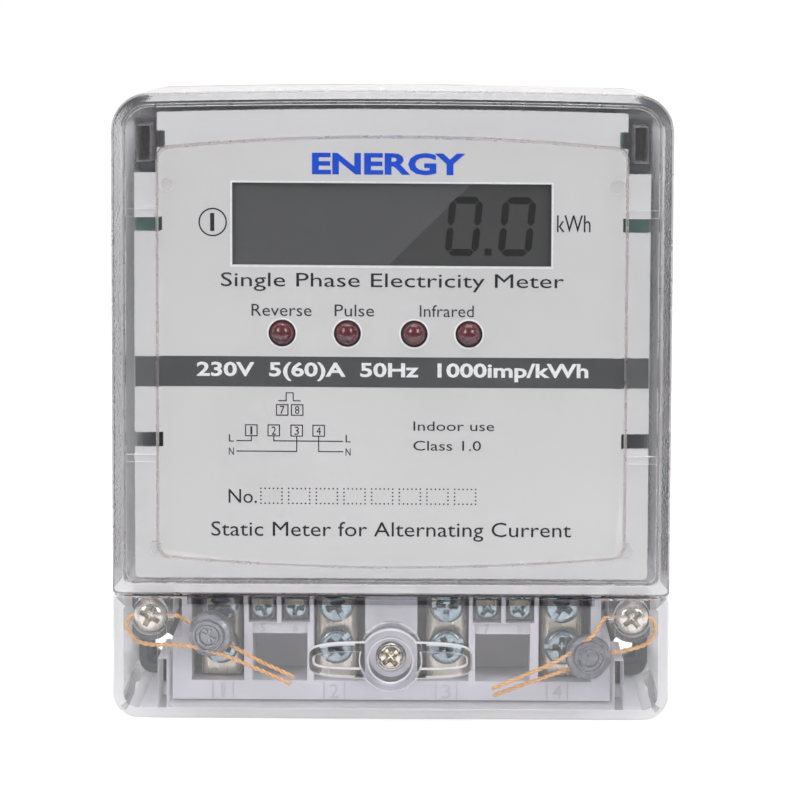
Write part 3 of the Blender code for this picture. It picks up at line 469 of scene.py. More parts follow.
# The points of each leg, in metres, as in the CAD model.
SEAL_LEGS = {
    "left_upper": [
        (-0.0484, -0.0512, -0.0430), (-0.0460, -0.0512, -0.0430), (-0.0435, -0.0512, -0.0431),
        (-0.0416, -0.0502, -0.0443), (-0.0395, -0.0494, -0.0456), (-0.0364, -0.0493, -0.0473),
        (-0.0333, -0.0492, -0.0490), (-0.0302, -0.0500, -0.0506), (-0.0260, -0.0509, -0.0527),
        (-0.0225, -0.0514, -0.0542), (-0.0196, -0.0516, -0.0555),
    ],
    "left_lower": [
        (-0.0490, -0.0512, -0.0430), (-0.0508, -0.0512, -0.0430), (-0.0523, -0.0512, -0.0431),
        (-0.0533, -0.0512, -0.0442), (-0.0532, -0.0512, -0.0463), (-0.0516, -0.0510, -0.0483),
        (-0.0486, -0.0508, -0.0491), (-0.0452, -0.0509, -0.0491), (-0.0416, -0.0515, -0.0492),
        (-0.0388, -0.0516, -0.0497), (-0.0356, -0.0515, -0.0506), (-0.0320, -0.0513, -0.0519),
        (-0.0275, -0.0516, -0.0537), (-0.0235, -0.0519, -0.0554), (-0.0202, -0.0520, -0.0569),
    ],
    "right_upper": [
        (0.0484, -0.0512, -0.0430), (0.0460, -0.0512, -0.0430), (0.0435, -0.0512, -0.0431),
        (0.0420, -0.0516, -0.0449), (0.0408, -0.0518, -0.0467), (0.0384, -0.0518, -0.0486),
        (0.0356, -0.0517, -0.0508), (0.0318, -0.0515, -0.0529), (0.0275, -0.0514, -0.0548),
        (0.0236, -0.0516, -0.0564), (0.0206, -0.0519, -0.0576),
    ],
    "right_lower": [
        (0.0490, -0.0512, -0.0430), (0.0508, -0.0512, -0.0430), (0.0523, -0.0512, -0.0431),
        (0.0533, -0.0512, -0.0442), (0.0533, -0.0512, -0.0464), (0.0519, -0.0510, -0.0483),
        (0.0494, -0.0506, -0.0494), (0.0469, -0.0501, -0.0500), (0.0444, -0.0497, -0.0506),
        (0.0406, -0.0496, -0.0521), (0.0364, -0.0498, -0.0538), (0.0322, -0.0503, -0.0552),
        (0.0276, -0.0507, -0.0567), (0.0238, -0.0509, -0.0581), (0.0208, -0.0511, -0.0592),
    ],
}


def smooth_route(points, step):
    """Points about one step apart on a smooth curve through the given points."""
    nodes = [Vector(p) for p in points]
    nodes = [2 * nodes[0] - nodes[1], *nodes, 2 * nodes[-1] - nodes[-2]]
    fine = [nodes[1]]
    for before, start, end, after in zip(nodes, nodes[1:], nodes[2:], nodes[3:]):
        for i in range(1, 25):
            t = i / 24
            a = 2 * start + (end - before) * t
            b = (2 * before - 5 * start + 4 * end - after) * t * t
            c = (3 * start - before - 3 * end + after) * t * t * t
            fine.append((a + b + c) / 2)
    walked = [0.0]
    for here, there in zip(fine, fine[1:]):
        walked.append(walked[-1] + (there - here).length)
    count = max(round(walked[-1] / step), 2)
    route, k = [], 0
    for i in range(count + 1):
        target = walked[-1] * i / count
        while k < len(walked) - 2 and walked[k + 1] < target:
            k += 1
        share = (target - walked[k]) / (walked[k + 1] - walked[k])
        route.append(fine[k].lerp(fine[k + 1], min(share, 1.0)))
    return route


def frames_along(route):
    """A direction and two directions across it at each point, which turn as little as they can."""
    side, frames = Vector((0, 0, 1)), []
    for i, point in enumerate(route):
        along = (route[min(i + 1, len(route) - 1)] - route[max(i - 1, 0)]).normalized()
        side = (side - along * side.dot(along)).normalized()
        frames.append((point, side, along.cross(side)))
    return frames


def twisted_wire(name, route, diameter):
    """Strands wound round a line, each a thin tube with its ends closed."""
    strand_radius = diameter / 2 / (1 + 1 / math.sin(math.pi / STRANDS))
    offset = diameter / 2 - strand_radius
    thick = strand_radius * 1.12
    angles = [math.tau * k / STRAND_SIDES for k in range(STRAND_SIDES)]
    bm = bmesh.new()
    for strand in range(STRANDS):
        rings, centres, walked = [], [], 0.0
        for i, (point, side, across) in enumerate(frames_along(route)):
            walked += (route[i] - route[i - 1]).length if i else 0
            angle = math.tau * (strand / STRANDS + walked / STRAND_PITCH)
            centres.append(point + offset * (math.cos(angle) * side + math.sin(angle) * across))
        for point, side, across in frames_along(centres):
            ring = [point + thick * (math.cos(a) * side + math.sin(a) * across) for a in angles]
            rings.append([bm.verts.new(p) for p in ring])
        for low, high in zip(rings, rings[1:]):
            for k in range(STRAND_SIDES):
                j = (k + 1) % STRAND_SIDES
                bm.faces.new((low[k], low[j], high[j], high[k]))
        bm.faces.new(rings[0])
        bm.faces.new(rings[-1])
    return new_object(name, bm, WIRE, 50)


def seal_wires():
    for leg, points in SEAL_LEGS.items():
        route = smooth_route(points, 0.3 * MM)
        wire = twisted_wire(f"seal_wire_{leg}_strands", route, WIRE_DIAMETER)
        place(wire, "meter", "bare_copper_wire", f"seal_wire_{leg}")


seal_wires()


# ---- covers

# The covers' outer sizes, and where their details are. A detail on both sides is given for the right one.
HALF_WIDTH = 56 * MM
HALF_HEIGHT = 63.25 * MM
FRONT = 57 * MM
WALL = 1.8 * MM
TOP_CORNER = 7.6 * MM
BOTTOM_CORNER = 5.2 * MM
TOP_BOW = 0.7 * MM
SKIRT = 3.3 * MM
SPLIT_TOP = -38.0 * MM
SPLIT_BOTTOM = -38.4 * MM
PANEL_HALF, PANEL_TOP, PANEL_BOTTOM = 46.7 * MM, 51.8 * MM, -30.3 * MM
PANEL_CORNER, PANEL_BOW = 2.6 * MM, 2.1 * MM
EDGE = 0.7 * MM
EAR_X, EAR_Z = 48.7 * MM, -43.0 * MM
STAYS, STAY_SPAN = (38.65 * MM, -10.65 * MM), (46.6 * MM, 53 * MM)
PINS, PIN_RADIUS = ((44.8 * MM, 44.0 * MM), (47.4 * MM, -28.8 * MM)), 1.3 * MM
LATCH_SPAN, LATCH_HEIGHTS = (48.3 * MM, 51.0 * MM), (48.8 * MM, 56 * MM)
RIB_SPAN = (45.2 * MM, 47.0 * MM)
BOSS_Z = -51.1 * MM

# The ear that a cover screw goes through, the seat of the screw's head and the wire's hole.
EAR_RADIUS, EAR_BACK, EAR_FRONT = 4.8 * MM, 34.3 * MM, 53.5 * MM
SEAT_RADIUS, SEAT_DEPTH = 3.75 * MM, 50 * MM
WIRE_HOLE_RADIUS, WIRE_HOLE_DEPTH = 0.95 * MM, 51.2 * MM

# Half lengths, half heights and depths of the outlines of the grip and its slot, in mm.
GRIP = ((16.7, 3.8, 56.1), (16.7, 3.8, 57.6), (16.4, 3.5, 57.9), (16.0, 3.1, 58.0))
GRIP_SLOT = ((14.9, 1.3, 55.4), (15.3, 1.65, 57.4), (15.9, 2.1, 58.6))

# Insets of rings from an outline and how far below the front they lie, in mm.
RIM_GROOVE = ((2.2, 0), (2.35, 0.4), (2.75, 0.4), (2.9, 0))
PANEL_EDGE = ((-0.4, 0), (-0.28, 0.14), (-0.12, 0.14), (0.05, -0.5), (0.25, -0.6))


def upper_outline(inset):
    corner = 0.8 * MM + inset * 0.3
    return rounded(
        HALF_WIDTH - inset, SPLIT_TOP + inset, HALF_HEIGHT - TOP_BOW - inset,
        max(TOP_CORNER - inset, 0.5 * MM), corner, TOP_BOW,
    )


def lower_outline(inset):
    return rounded(
        HALF_WIDTH - inset, -HALF_HEIGHT + inset, SPLIT_BOTTOM - inset,
        0.5 * MM, max(BOTTOM_CORNER - inset, 0.5 * MM),
    )


def panel_outline(inset):
    return rounded(
        PANEL_HALF - inset, PANEL_BOTTOM + inset, PANEL_TOP - inset,
        PANEL_CORNER, PANEL_CORNER, PANEL_BOW, -0.9 * PANEL_BOW,
    )


def rim(outline, radius, steps=4):
    """Rings that round the front edge of a skirt over."""
    rings = []
    for i in range(steps + 1):
        angle = math.pi / 2 * i / steps
        inset = radius * (1 - math.cos(angle))
        rings.append(at_depth(outline(inset), FRONT - radius + radius * math.sin(angle)))
    return rings


def within(value, span):
    """Whether a value is in a span or at its ends."""
    return span[0] - 0.1 * MM < value < span[1] + 0.1 * MM


def is_lined(x, depth, z):
    """Whether a wall is a pin's or a latch's, which take the dark groove finish, painted shade that shows
    them as thin dark outlines.
    """
    pin = depth > 53.7 * MM and min(math.hypot(x - px, z - pz) for px, pz in PINS) < PIN_RADIUS + 0.2 * MM
    return pin or (within(x, LATCH_SPAN) and within(z, LATCH_HEIGHTS))


def edge_catches_light(x, depth, z, main):
    """Whether a wall seen edge-on is a stay's, a screw seat's or a rib's, which show as white lines."""
    if main:
        near_stay = min(abs(z - middle) for middle in STAYS) < 1.6 * MM
        stay = near_stay and depth > 53.7 * MM and within(x, STAY_SPAN)
        return stay or (depth > 50.1 * MM and math.hypot(x - EAR_X, z - EAR_Z) < 4.0 * MM)
    return within(x, RIB_SPAN) and z < -44.6 * MM and depth > 29.9 * MM


def shade_cover(obj, window=None):
    """Picks each face's finish. The main cover's window is its half width, bottom and top."""
    # LINED_FACE is the dark groove finish: painted shade along the rim groove, the panel's slopes, the
    # pins and the latches.
    for face in obj.data.polygons:
        (x, y, z), normal = face.center, face.normal
        at_front = abs(y + FRONT) < 0.5 * MM and normal.y < -0.5
        if at_front and window:
            if y > 0.03 * MM - FRONT:
                face.material_index = LINED_FACE
            elif SPLIT_TOP < z < SPLIT_TOP + 2.9 * MM:
                face.material_index = BANDED_FACE
            elif abs(x) > window[0] or not window[1] < z < window[2]:
                face.material_index = FROSTED_FACE
        elif at_front and (abs(x) > HALF_WIDTH - 2.2 * MM or z < 2.2 * MM - HALF_HEIGHT):
            face.material_index = BANDED_FACE
        elif y < -FRONT - 0.05 * MM and abs(normal.y) < 0.97:
            face.material_index = LINED_FACE if window else BANDED_FACE
        elif window and abs(normal.y) < 0.5 and is_lined(abs(x), -y, z):
            face.material_index = LINED_FACE
        elif abs(normal.y) < 0.5 and edge_catches_light(abs(x), -y, z, window):
            face.material_index = BANDED_FACE
        elif abs(normal.y) < 0.5:
            far = abs(x) > HALF_WIDTH - WALL - 0.1 * MM or abs(z) > HALF_HEIGHT - WALL - TOP_BOW - 0.1 * MM
            if far or (window and abs(normal.z) > 0.7 and abs(z - SPLIT_TOP) < 2.5 * MM):
                face.material_index = SKIRT_FACE


def main_cover():
    """The clear hood with its rim groove, raised window, latches, screw ears, stays and pins."""
    inside = [at_depth(upper_outline(WALL), FRONT - WALL), at_depth(upper_outline(WALL), SKIRT)]
    outside = [at_depth(upper_outline(0), SKIRT), *rim(upper_outline, EDGE)]
    groove = [at_depth(upper_outline(inset * MM), FRONT - deep * MM) for inset, deep in RIM_GROOVE]
    panel = [at_depth(panel_outline(inset * MM), FRONT - deep * MM) for inset, deep in PANEL_EDGE]
    cover = skin("main_cover_clear", [*inside, *outside, *groove, *panel])
    inner = HALF_WIDTH - WALL
    low = (SPLIT_TOP - MM, SPLIT_TOP + WALL + MM)
    cut(cover, block("room", (-45.2 * MM, 45.2 * MM), (0, 46.5 * MM), low))
    cut(cover, block("room", (-inner, inner), (0, 15.6 * MM), low))
    for sign in (-1, 1):
        x = sign * EAR_X
        join(cover, block("latch", mirrored(sign, LATCH_SPAN), (31 * MM, 56 * MM), LATCH_HEIGHTS))
        ear = block("ear", (x - EAR_RADIUS, x + EAR_RADIUS), (EAR_BACK, EAR_FRONT), (EAR_Z, -37 * MM))
        join(ear, prism("ear_round", circle(x, EAR_Z, EAR_RADIUS), EAR_BACK, EAR_FRONT))
        outer = mirrored(sign, (52.2 * MM, 57 * MM))
        cut(ear, block("ear_flat", outer, (33 * MM, 55 * MM), (-50 * MM, -36 * MM)))
        join(cover, apply_modifiers(ear))
        cut(cover, prism("seat", circle(x, EAR_Z, SEAT_RADIUS, 48), SEAT_DEPTH, 55 * MM))
        cut(cover, prism("hole", circle(x, EAR_Z, 1.9 * MM, 32), 33 * MM, 51 * MM))
        around = circle(-WIRE_HOLE_DEPTH, EAR_Z, WIRE_HOLE_RADIUS, 16)
        ends = [[(x + reach, y, z) for y, z in around] for reach in (-7 * MM, 7 * MM)]
        cut(cover, skin("wire_hole", ends))
        for middle in STAYS:
            height = (middle - 0.75 * MM, middle + 0.75 * MM)
            join(cover, block("stay", mirrored(sign, STAY_SPAN), (53.8 * MM, FRONT - WALL / 2), height))
        for pin_x, pin_z in PINS:
            pin = circle(sign * pin_x, pin_z, PIN_RADIUS, 32)
            join(cover, prism("pin", pin, 53.75 * MM, 56.1 * MM))
    finish_mesh(apply_modifiers(cover), COVER_LOOKS, 20)
    shade_cover(cover, (PANEL_HALF + 0.1 * MM, PANEL_BOTTOM - 0.2 * MM, PANEL_TOP))
    return place(cover, "meter", "clear_polycarbonate", "main_cover")


def ovals(rows):
    return [at_depth(oval(BOSS_Z, length * MM, height * MM), depth * MM) for length, height, depth in rows]


def terminal_cover():
    """The clear cover below the split, with its grip, screw boss, ribs, tab and cable entries."""
    inside = [at_depth(lower_outline(WALL), FRONT - WALL), at_depth(lower_outline(WALL), SKIRT)]
    outside = [at_depth(lower_outline(0), SKIRT), *rim(lower_outline, EDGE)]
    face = at_depth(lower_outline(2.2 * MM), FRONT)
    cover = skin("terminal_cover_clear", [*inside, *outside, face])
    inner = HALF_WIDTH - WALL
    top = (SPLIT_BOTTOM - WALL - MM, SPLIT_BOTTOM + MM)
    cut(cover, block("room", (-inner, inner), (0, 47 * MM), top))
    for sign in (-1, 1):
        cut(cover, block("ear_room", mirrored(sign, (41 * MM, inner)), (46 * MM, FRONT - WALL), top))
        rib = mirrored(sign, RIB_SPAN)
        join(cover, block("rib", rib, (30 * MM, 56.1 * MM), (-62 * MM, -51.4 * MM)))
        join(cover, block("rib_top", rib, (54.1 * MM, 56.1 * MM), (-52.4 * MM, -44.5 * MM)))
    grip = skin("grip", ovals(GRIP))
    cut(grip, skin("grip_slot", ovals(GRIP_SLOT)))
    boss = turned("boss", 0, BOSS_Z, [(6.4 * MM, 46.4 * MM), (6.4 * MM, 57.7 * MM), (6.1 * MM, 58 * MM)])
    join(cover, apply_modifiers(grip), boss)
    seat = [(4.3 * MM, 52 * MM), (4.4 * MM, 57.7 * MM), (4.8 * MM, 58.1 * MM)]
    cut(cover, turned("boss_seat", 0, BOSS_Z, seat))
    cut(cover, prism("boss_hole", circle(0, BOSS_Z, 1.8 * MM, 32), 45 * MM, 53 * MM))
    height = (-41.2 * MM, SPLIT_BOTTOM - WALL / 2)
    join(cover, block("tab", (8.3 * MM, 11.9 * MM), (50 * MM, 54.6 * MM), height))
    for number in range(1, 5):
        x = middle_of(f"terminal_{number}")[0]
        span = (x - 4.4 * MM, x + 4.4 * MM)
        cut(cover, block("entry", span, (30.6 * MM, 39.4 * MM), (-65 * MM, -60.5 * MM)))
    finish_mesh(apply_modifiers(cover), COVER_LOOKS, 20)
    shade_cover(cover)
    return place(cover, "terminal_cover", "clear_polycarbonate", "terminal_cover")


main_cover()
terminal_cover()


# ---- screws


def cross(x, z, span, width):
    """The outline of a cross recess with rounded roots."""
    half, arm, root = width / 2, span / 2, width * 0.35
    curve = half + root * 0.3
    quarter = [(arm, half), (half + root, half), (curve, curve), (half, half + root), (half, arm)]
    points = []
    for sx, sz in ((1, 1), (-1, 1), (-1, -1), (1, -1)):
        corner = [(sx * px, sz * pz) for px, pz in quarter]
        points += corner if sx * sz > 0 else corner[::-1]
    return [(x + px, z + pz) for px, pz in points]


def fine_screw(node, look, slot_name, body, dome, recess, tilt):
    """A screw with a domed or flat head, a tapered cross recess and, if asked, a slot across the head.

    The recess is the cross's span, width and depth, and the slot's length or None.
    """
    low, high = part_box(node)
    x, z = middle_of(node)
    radius, front, tip = (high.x - low.x) / 2, -low.y, -high.y
    seat, shank, share = front - dome["height"], dome["shank"], dome["flat"]
    profile = [(0.7 * shank, tip), (shank, tip + 0.4 * MM), (shank, seat)]
    profile += [(0.97 * radius, seat), (radius, seat + 0.1 * MM)]
    for i in range(1, 9):
        angle = math.pi / 2 * i / 8
        r = radius * (share + (1 - share) * math.cos(angle))
        profile.append((r, front - dome["crown"] * (1 - math.sin(angle))))
    span, width, deep, slot = recess
    screw = turned(f"{node}_finished", x, z, profile, look, 48)
    outer = at_depth(cross(x, z, span, width), front + 0.2 * MM)
    middle = at_depth(cross(x, z, span * 0.80, width * 0.85), front - deep * 0.55)
    inner = at_depth(cross(x, z, span * 0.30, width * 0.25), front - deep)
    cut(screw, skin("recess", [outer, middle, inner]))
    if slot:
        across = (z - width * 0.42, z + width * 0.42)
        cut(screw, block("slot", (x - slot / 2, x + slot / 2), (front - 0.9 * MM, front + MM), across))
    apply_modifiers(screw)
    axis = Matrix.Translation((x, 0, z))
    screw.data.transform(axis @ Matrix.Rotation(math.radians(tilt), 4, "Y") @ axis.inverted())
    finish_mesh(screw, look, 32)
    return place(screw, body, slot_name, node)


# Heads: their height, the shank's radius, the flat share of the top and how far its edge drops.
PAN = {"height": 3.4 * MM, "shank": 1.45 * MM, "flat": 0.35, "crown": 2.0 * MM}
LOW_PAN = {"height": 2.2 * MM, "shank": 1.45 * MM, "flat": 0.35, "crown": 1.2 * MM}
CHEESE = {"height": 3.0 * MM, "shank": 2.15 * MM, "flat": 0.72, "crown": 0.9 * MM}
SMALL = {"height": 2.2 * MM, "shank": 1.4 * MM, "flat": 0.66, "crown": 0.8 * MM}
TINY = {"height": 2.0 * MM, "shank": 1.1 * MM, "flat": 0.4, "crown": 1.2 * MM}

# Recesses: the cross's span, width and depth, and the slot's length or None.
PAN_CROSS = (4.6 * MM, 1.15 * MM, 2.1 * MM, None)
LOW_CROSS = (4.3 * MM, 1.15 * MM, 1.8 * MM, None)
SLOTTED_CROSS = (4.6 * MM, 1.3 * MM, 2.2 * MM, 7.4 * MM)
SMALL_CROSS = (3.6 * MM, 1.0 * MM, 1.5 * MM, None)
TINY_CROSS = (3.2 * MM, 0.8 * MM, 1.1 * MM, None)

fine_screw("cover_screw_left", NICKEL, "bright_nickel", "meter", PAN, PAN_CROSS, 28)
fine_screw("cover_screw_right", NICKEL, "bright_nickel", "meter", PAN, PAN_CROSS, 52)
fine_screw("sealing_screw", NICKEL, "bright_nickel", "sealing_screw", LOW_PAN, LOW_CROSS, -38)
for number in range(1, 5):
    for spot, tilt in (("upper", 31 * number), ("lower", 90 + 23 * number)):
        name = f"terminal_screw_{number}_{spot}"
        fine_screw(name, ZINC, "zinc_plated_steel", name, CHEESE, SLOTTED_CROSS, tilt)
for number in range(5, 9):
    name = f"aux_screw_{number}"
    fine_screw(name, ZINC, "zinc_plated_steel", name, SMALL, SMALL_CROSS, 40 + 25 * number)
for number in range(1, 5):
    name = f"board_screw_{number}"
    fine_screw(name, ZINC, "zinc_plated_steel", "meter", TINY, TINY_CROSS, 33 * number)


# ---- bevelled CAD parts

# The node, the edges' width in mm, the look, the slot and how many steps round each edge.
BEVELLED = (
    ("base_case", 0.35, BASE, "dark_grey_plastic", 2),
    ("terminal_block", 0.22, BLOCK, "light_grey_plastic", 2),
    *((f"terminal_{number}", 0.2, BRASS, "nickel_plated_brass", 2) for number in range(1, 5)),
    *((f"aux_terminal_{number}", 0.15, BRASS, "nickel_plated_brass", 2) for number in range(5, 9)),
    ("metering_chip", 0.25, CHIP, "black_epoxy", 2),
    ("microcontroller", 0.2, CHIP, "black_epoxy", 2),
    ("optocoupler", 0.25, CHIP, "black_epoxy", 2),
    ("supply_capacitor", 0.5, FILM, "yellow_plastic", 3),
    ("electrolytic_capacitor", 0.4, SLEEVE, "blue_sleeve", 3),
    ("varistor", 1.4, DIPPED, "blue_epoxy", 4),
    ("crystal", 0.4, NICKEL, "bright_nickel", 3),
    ("lcd_holder", 0.3, HOLDER, "black_plastic", 2),
    ("line_conductor", 0.12, COPPER, "copper", 2),
    ("load_conductor", 0.12, COPPER, "copper", 2),
    ("neutral_link", 0.12, COPPER, "copper", 2),
    ("current_shunt", 0.12, SHUNT, "manganin", 2),
)
for node, width, look, slot_name, segments in BEVELLED:
    bevelled_copy(node, width * MM, look, slot_name, segments)


def repaint(node, look):
    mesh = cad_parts[node].data
    mesh.materials.clear()
    mesh.materials.append(look.material)


repaint("dial_plate", PLATE)
repaint("circuit_board", BOARD)
repaint("lcd_glass", display_look())
for name in ("pulse_wire_plus", "sense_wire_line"):
    repaint(name, RED_WIRE)
for name in ("pulse_wire_minus", "sense_wire_neutral"):
    repaint(name, BLACK_WIRE)


# ---- lamps


def lamp(node):
    """A 5 mm lamp: a flanged body, a round dome and a fine step where the dome starts."""
    low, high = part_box(node)
    x, z = middle_of(node)
    back, front, flange = -high.y, -low.y, (high.x - low.x) / 2
    radius = flange - 0.4 * MM
    shoulder = front - radius
    profile = [(flange - 0.1 * MM, back), (flange, back + 0.1 * MM)]
    profile += [(flange, back + 0.9 * MM), (radius, back + MM)]
    for i in range(17):
        angle = math.radians(88) * i / 16
        profile.append((radius * math.cos(angle), shoulder + radius * math.sin(angle)))
    made = turned(f"{node}_finished", x, z, profile, LAMP, 48, 40)
    return place(made, "meter", "dark_red_epoxy", node)


LAMPS = ("reverse", "pulse", "infrared_in", "infrared_out")
for name in LAMPS:
    lamp(f"led_{name}")


# ---- printing on the dial plate

PLATE_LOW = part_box("dial_plate")[0]
LINE_WIDTH, INK_THICKNESS = 0.2 * MM, 0.02 * MM
PRINT_BACK = -PLATE_LOW.y + 0.02 * MM
PRINT_FRONT = PRINT_BACK + INK_THICKNESS


def flat_text(words, left, right, bottom, top, depth=PRINT_BACK, thickness=INK_THICKNESS, weight=0.0):
    """A mesh of the words, fitted to the box, or in its middle where they would be stretched too wide."""
    curve = bpy.data.curves.new("words", "FONT")
    curve.body = words
    curve.offset = weight
    curve.resolution_u = 3
    curve.extrude = 0.5
    holder = bpy.data.objects.new("words", curve)
    scene.collection.objects.link(holder)
    bpy.context.view_layer.update()
    mesh = bpy.data.meshes.new_from_object(holder.evaluated_get(bpy.context.evaluated_depsgraph_get()))
    bpy.data.objects.remove(holder, do_unlink=True)
    xs, ys = [v.co.x for v in mesh.vertices], [v.co.y for v in mesh.vertices]
    low_x, low_y = min(xs), min(ys)
    scale_y = (top - bottom) / (max(ys) - low_y)
    scale_x = min((right - left) / (max(xs) - low_x), 1.6 * scale_y)
    left = (left + right - scale_x * (max(xs) - low_x)) / 2
    for vertex in mesh.vertices:
        x, y, z = vertex.co
        out = depth + (z + 0.5) * thickness
        vertex.co = (left + (x - low_x) * scale_x, -out, bottom + (y - low_y) * scale_y)
    return mesh


def bar(x, z, depth=PRINT_BACK, thickness=INK_THICKNESS):
    """A thin flat rectangle as a mesh, at the depth of the printing."""
    return polygon(corners_of(*x, *z), depth, thickness)


def polygon(outline, depth=PRINT_BACK, thickness=INK_THICKNESS):
    bm = bmesh.new()
    rows = [[bm.verts.new((x, -d, z)) for x, z in outline] for d in (depth, depth + thickness)]
    for i in range(len(outline)):
        j = (i + 1) % len(outline)
        bm.faces.new((rows[0][i], rows[0][j], rows[1][j], rows[1][i]))
    bm.faces.new(rows[0])
    bm.faces.new(rows[1])
    return mesh_of("flat", bm)


def outline_ring(outer, inner):
    """A flat printed ring between two outlines of equally many points."""
    bm = bmesh.new()
    front = PRINT_BACK + INK_THICKNESS
    rings = [(outer, PRINT_BACK), (outer, front), (inner, front), (inner, PRINT_BACK)]
    rows = [[bm.verts.new((x, -d, z)) for x, z in ring] for ring, d in rings]
    for a, b in zip(rows, rows[1:] + rows[:1]):
        for i in range(len(outer)):
            j = (i + 1) % len(outer)
            bm.faces.new((a[i], a[j], b[j], b[i]))
    return mesh_of("ring", bm)


def gather(name, meshes, look, slot):
    """One object of several meshes, all in one material, on the meter."""
    bm = bmesh.new()
    for mesh in meshes:
        bm.from_mesh(mesh)
        bpy.data.meshes.remove(mesh)
    obj = new_object(name, bm, look, 30)
    return place(obj, "meter", slot)


def corners_of(left, right, bottom, top):
    return [(left, bottom), (right, bottom), (right, top), (left, top)]


def frame_ring(left, right, bottom, top, width):
    """A printed frame, with its line's width inside the given edges."""
    inner = corners_of(left + width, right - width, bottom + width, top - width)
    return outline_ring(corners_of(left, right, bottom, top), inner)


def line(start, end):
    """A printed line between two points given in mm."""
    start, end = Vector([value * MM for value in start]), Vector([value * MM for value in end])
    direction = (end - start).normalized() * LINE_WIDTH / 2
    across = Vector((-direction.y, direction.x))
    a, b = start - direction, end + direction
    return polygon([tuple(a - across), tuple(b - across), tuple(b + across), tuple(a + across)])


def wiring_diagram():
    """The terminals' numbers, with the pulse output above and the line and neutral conductors below."""
    meshes = []
    for number, x in zip("1234", (-28.1, -23.6, -19.0, -14.6)):
        meshes.append(frame_ring((x - 1.25) * MM, (x + 1.25) * MM, -6.3 * MM, -3.9 * MM, LINE_WIDTH))
        meshes.append(flat_text(number, (x - 0.45) * MM, (x + 0.45) * MM, -5.95 * MM, -4.3 * MM))
    for number, x in zip("78", (-21.9, -18.9)):
        meshes.append(frame_ring((x - 1.25) * MM, (x + 1.25) * MM, -2.1 * MM, 0.2 * MM, LINE_WIDTH))
        meshes.append(flat_text(number, (x - 0.45) * MM, (x + 0.45) * MM, -1.75 * MM, -0.15 * MM))
    pulse = [(-22.6, 0.9), (-21.1, 0.9), (-21.1, 2.5), (-19.7, 2.5), (-19.7, 0.9), (-18.3, 0.9)]
    meshes += [line(a, b) for a, b in zip(pulse, pulse[1:])]
    runs = [
        (-31.0, -7.2, -28.1, -7.2), (-28.1, -7.2, -28.1, -6.3), (-31.0, -9.3, -19.0, -9.3),
        (-19.0, -9.3, -19.0, -6.3), (-23.6, -7.2, -9.8, -7.2), (-23.6, -7.2, -23.6, -6.3),
        (-14.6, -6.3, -14.6, -9.3), (-14.6, -9.3, -9.8, -9.3),
    ]
    meshes += [line((x0, z0), (x1, z1)) for x0, z0, x1, z1 in runs]
    for letter, z in (("L", -7.4), ("N", -10.1)):
        meshes.append(flat_text(letter, -32.6 * MM, -31.6 * MM, z * MM, (z + 1.5) * MM))
        meshes.append(flat_text(letter, -9.2 * MM, -8.2 * MM, z * MM, (z + 1.5) * MM))
    return meshes


def dotted_digits(left, right, bottom, top, count):
    """A row of noughts in dots, as a numbering head stamps them."""
    meshes, pitch = [], (right - left) / count
    for digit in range(count):
        start = left + digit * pitch
        for row in range(5):
            for column in range(6):
                if row in (0, 4) or column in (0, 5):
                    x = start + pitch * 0.76 * column / 5
                    z = bottom + (top - bottom) * row / 4
                    meshes.append(polygon(circle(x, z, 0.17 * MM, 10)))
    return meshes


# Words, with the left, right, bottom and top edges of the box that each one fits, in mm.
BLACK_WORDS = (
    ("kWh", 32.9, 39.6, 35.0, 38.4),
    ("1", -36.5, -35.1, 34.8, 38.4),
    ("Single Phase Electricity Meter", -34.1, 34.4, 22.9, 26.6),
    ("Static Meter for Alternating Current", -36.2, 36.2, -27.4, -23.5),
    ("No.", -32.7, -27.0, -19.8, -17.0),
    ("Indoor use", 4.4, 20.6, -5.0, -3.1),
    ("Class 1.0", 4.4, 18.0, -9.0, -7.0),
)
GREY_WORDS = (
    ("Reverse", -28.0, -16.0, 17.9, 20.3),
    ("Pulse", -11.4, -3.5, 17.9, 20.3),
    ("Infrared", 5.6, 16.4, 17.9, 20.3),
)


def printed_words(rows):
    return [flat_text(words, *(edge * MM for edge in edges)) for words, *edges in rows]


def ring_round(x, z, outer, inner, sides=64):
    return outline_ring(circle(x, z, outer, sides), circle(x, z, inner, sides))


def print_dial():
    """The plate's printing, one object for each ink and the diagram and number on their own."""
    tariff_ring = ring_round(-35.7 * MM, 36.6 * MM, 2.85 * MM, 2.55 * MM, 48)
    gather("printing_black", [*printed_words(BLACK_WORDS), tariff_ring], BLACK_INK, "black_plastic")
    gather("printing_diagram", wiring_diagram(), BLACK_INK, "black_plastic")
    number = dotted_digits(-26.2 * MM, 18.3 * MM, -19.8 * MM, -16.8 * MM, 8)
    gather("printing_number", number, BLACK_INK, "black_plastic")
    gather("printing_grey", printed_words(GREY_WORDS), GREY_INK, "black_plastic")
    edge = 51.5 * MM
    band = bar((-edge, edge), (3.7 * MM, 9.8 * MM))
    gather("printing_band", [band], BAND_INK, "black_plastic")
    over_band = {"depth": PRINT_FRONT + 0.01 * MM, "weight": 0.026}
    words = "230V  5(60)A  50Hz  1000imp/kWh"
    rating = flat_text(words, -39.0 * MM, 39.4 * MM, 4.9 * MM, 8.7 * MM, **over_band)
    white = [rating, frame_ring(-32.2 * MM, 32.2 * MM, 27.7 * MM, 44.9 * MM, 0.3 * MM)]
    for name in LAMPS:
        x, z = middle_of(f"led_{name}")
        white.append(ring_round(x, z, 3.05 * MM, 2.7 * MM))
    gather("printing_white", white, WHITE_INK, "silver_grey_plate")
    blue = [flat_text("ENERGY", -15.9 * MM, 14.6 * MM, 46.2 * MM, 50.6 * MM, weight=0.035)]
    gather("printing_blue", blue, BLUE_INK, "blue_sleeve")


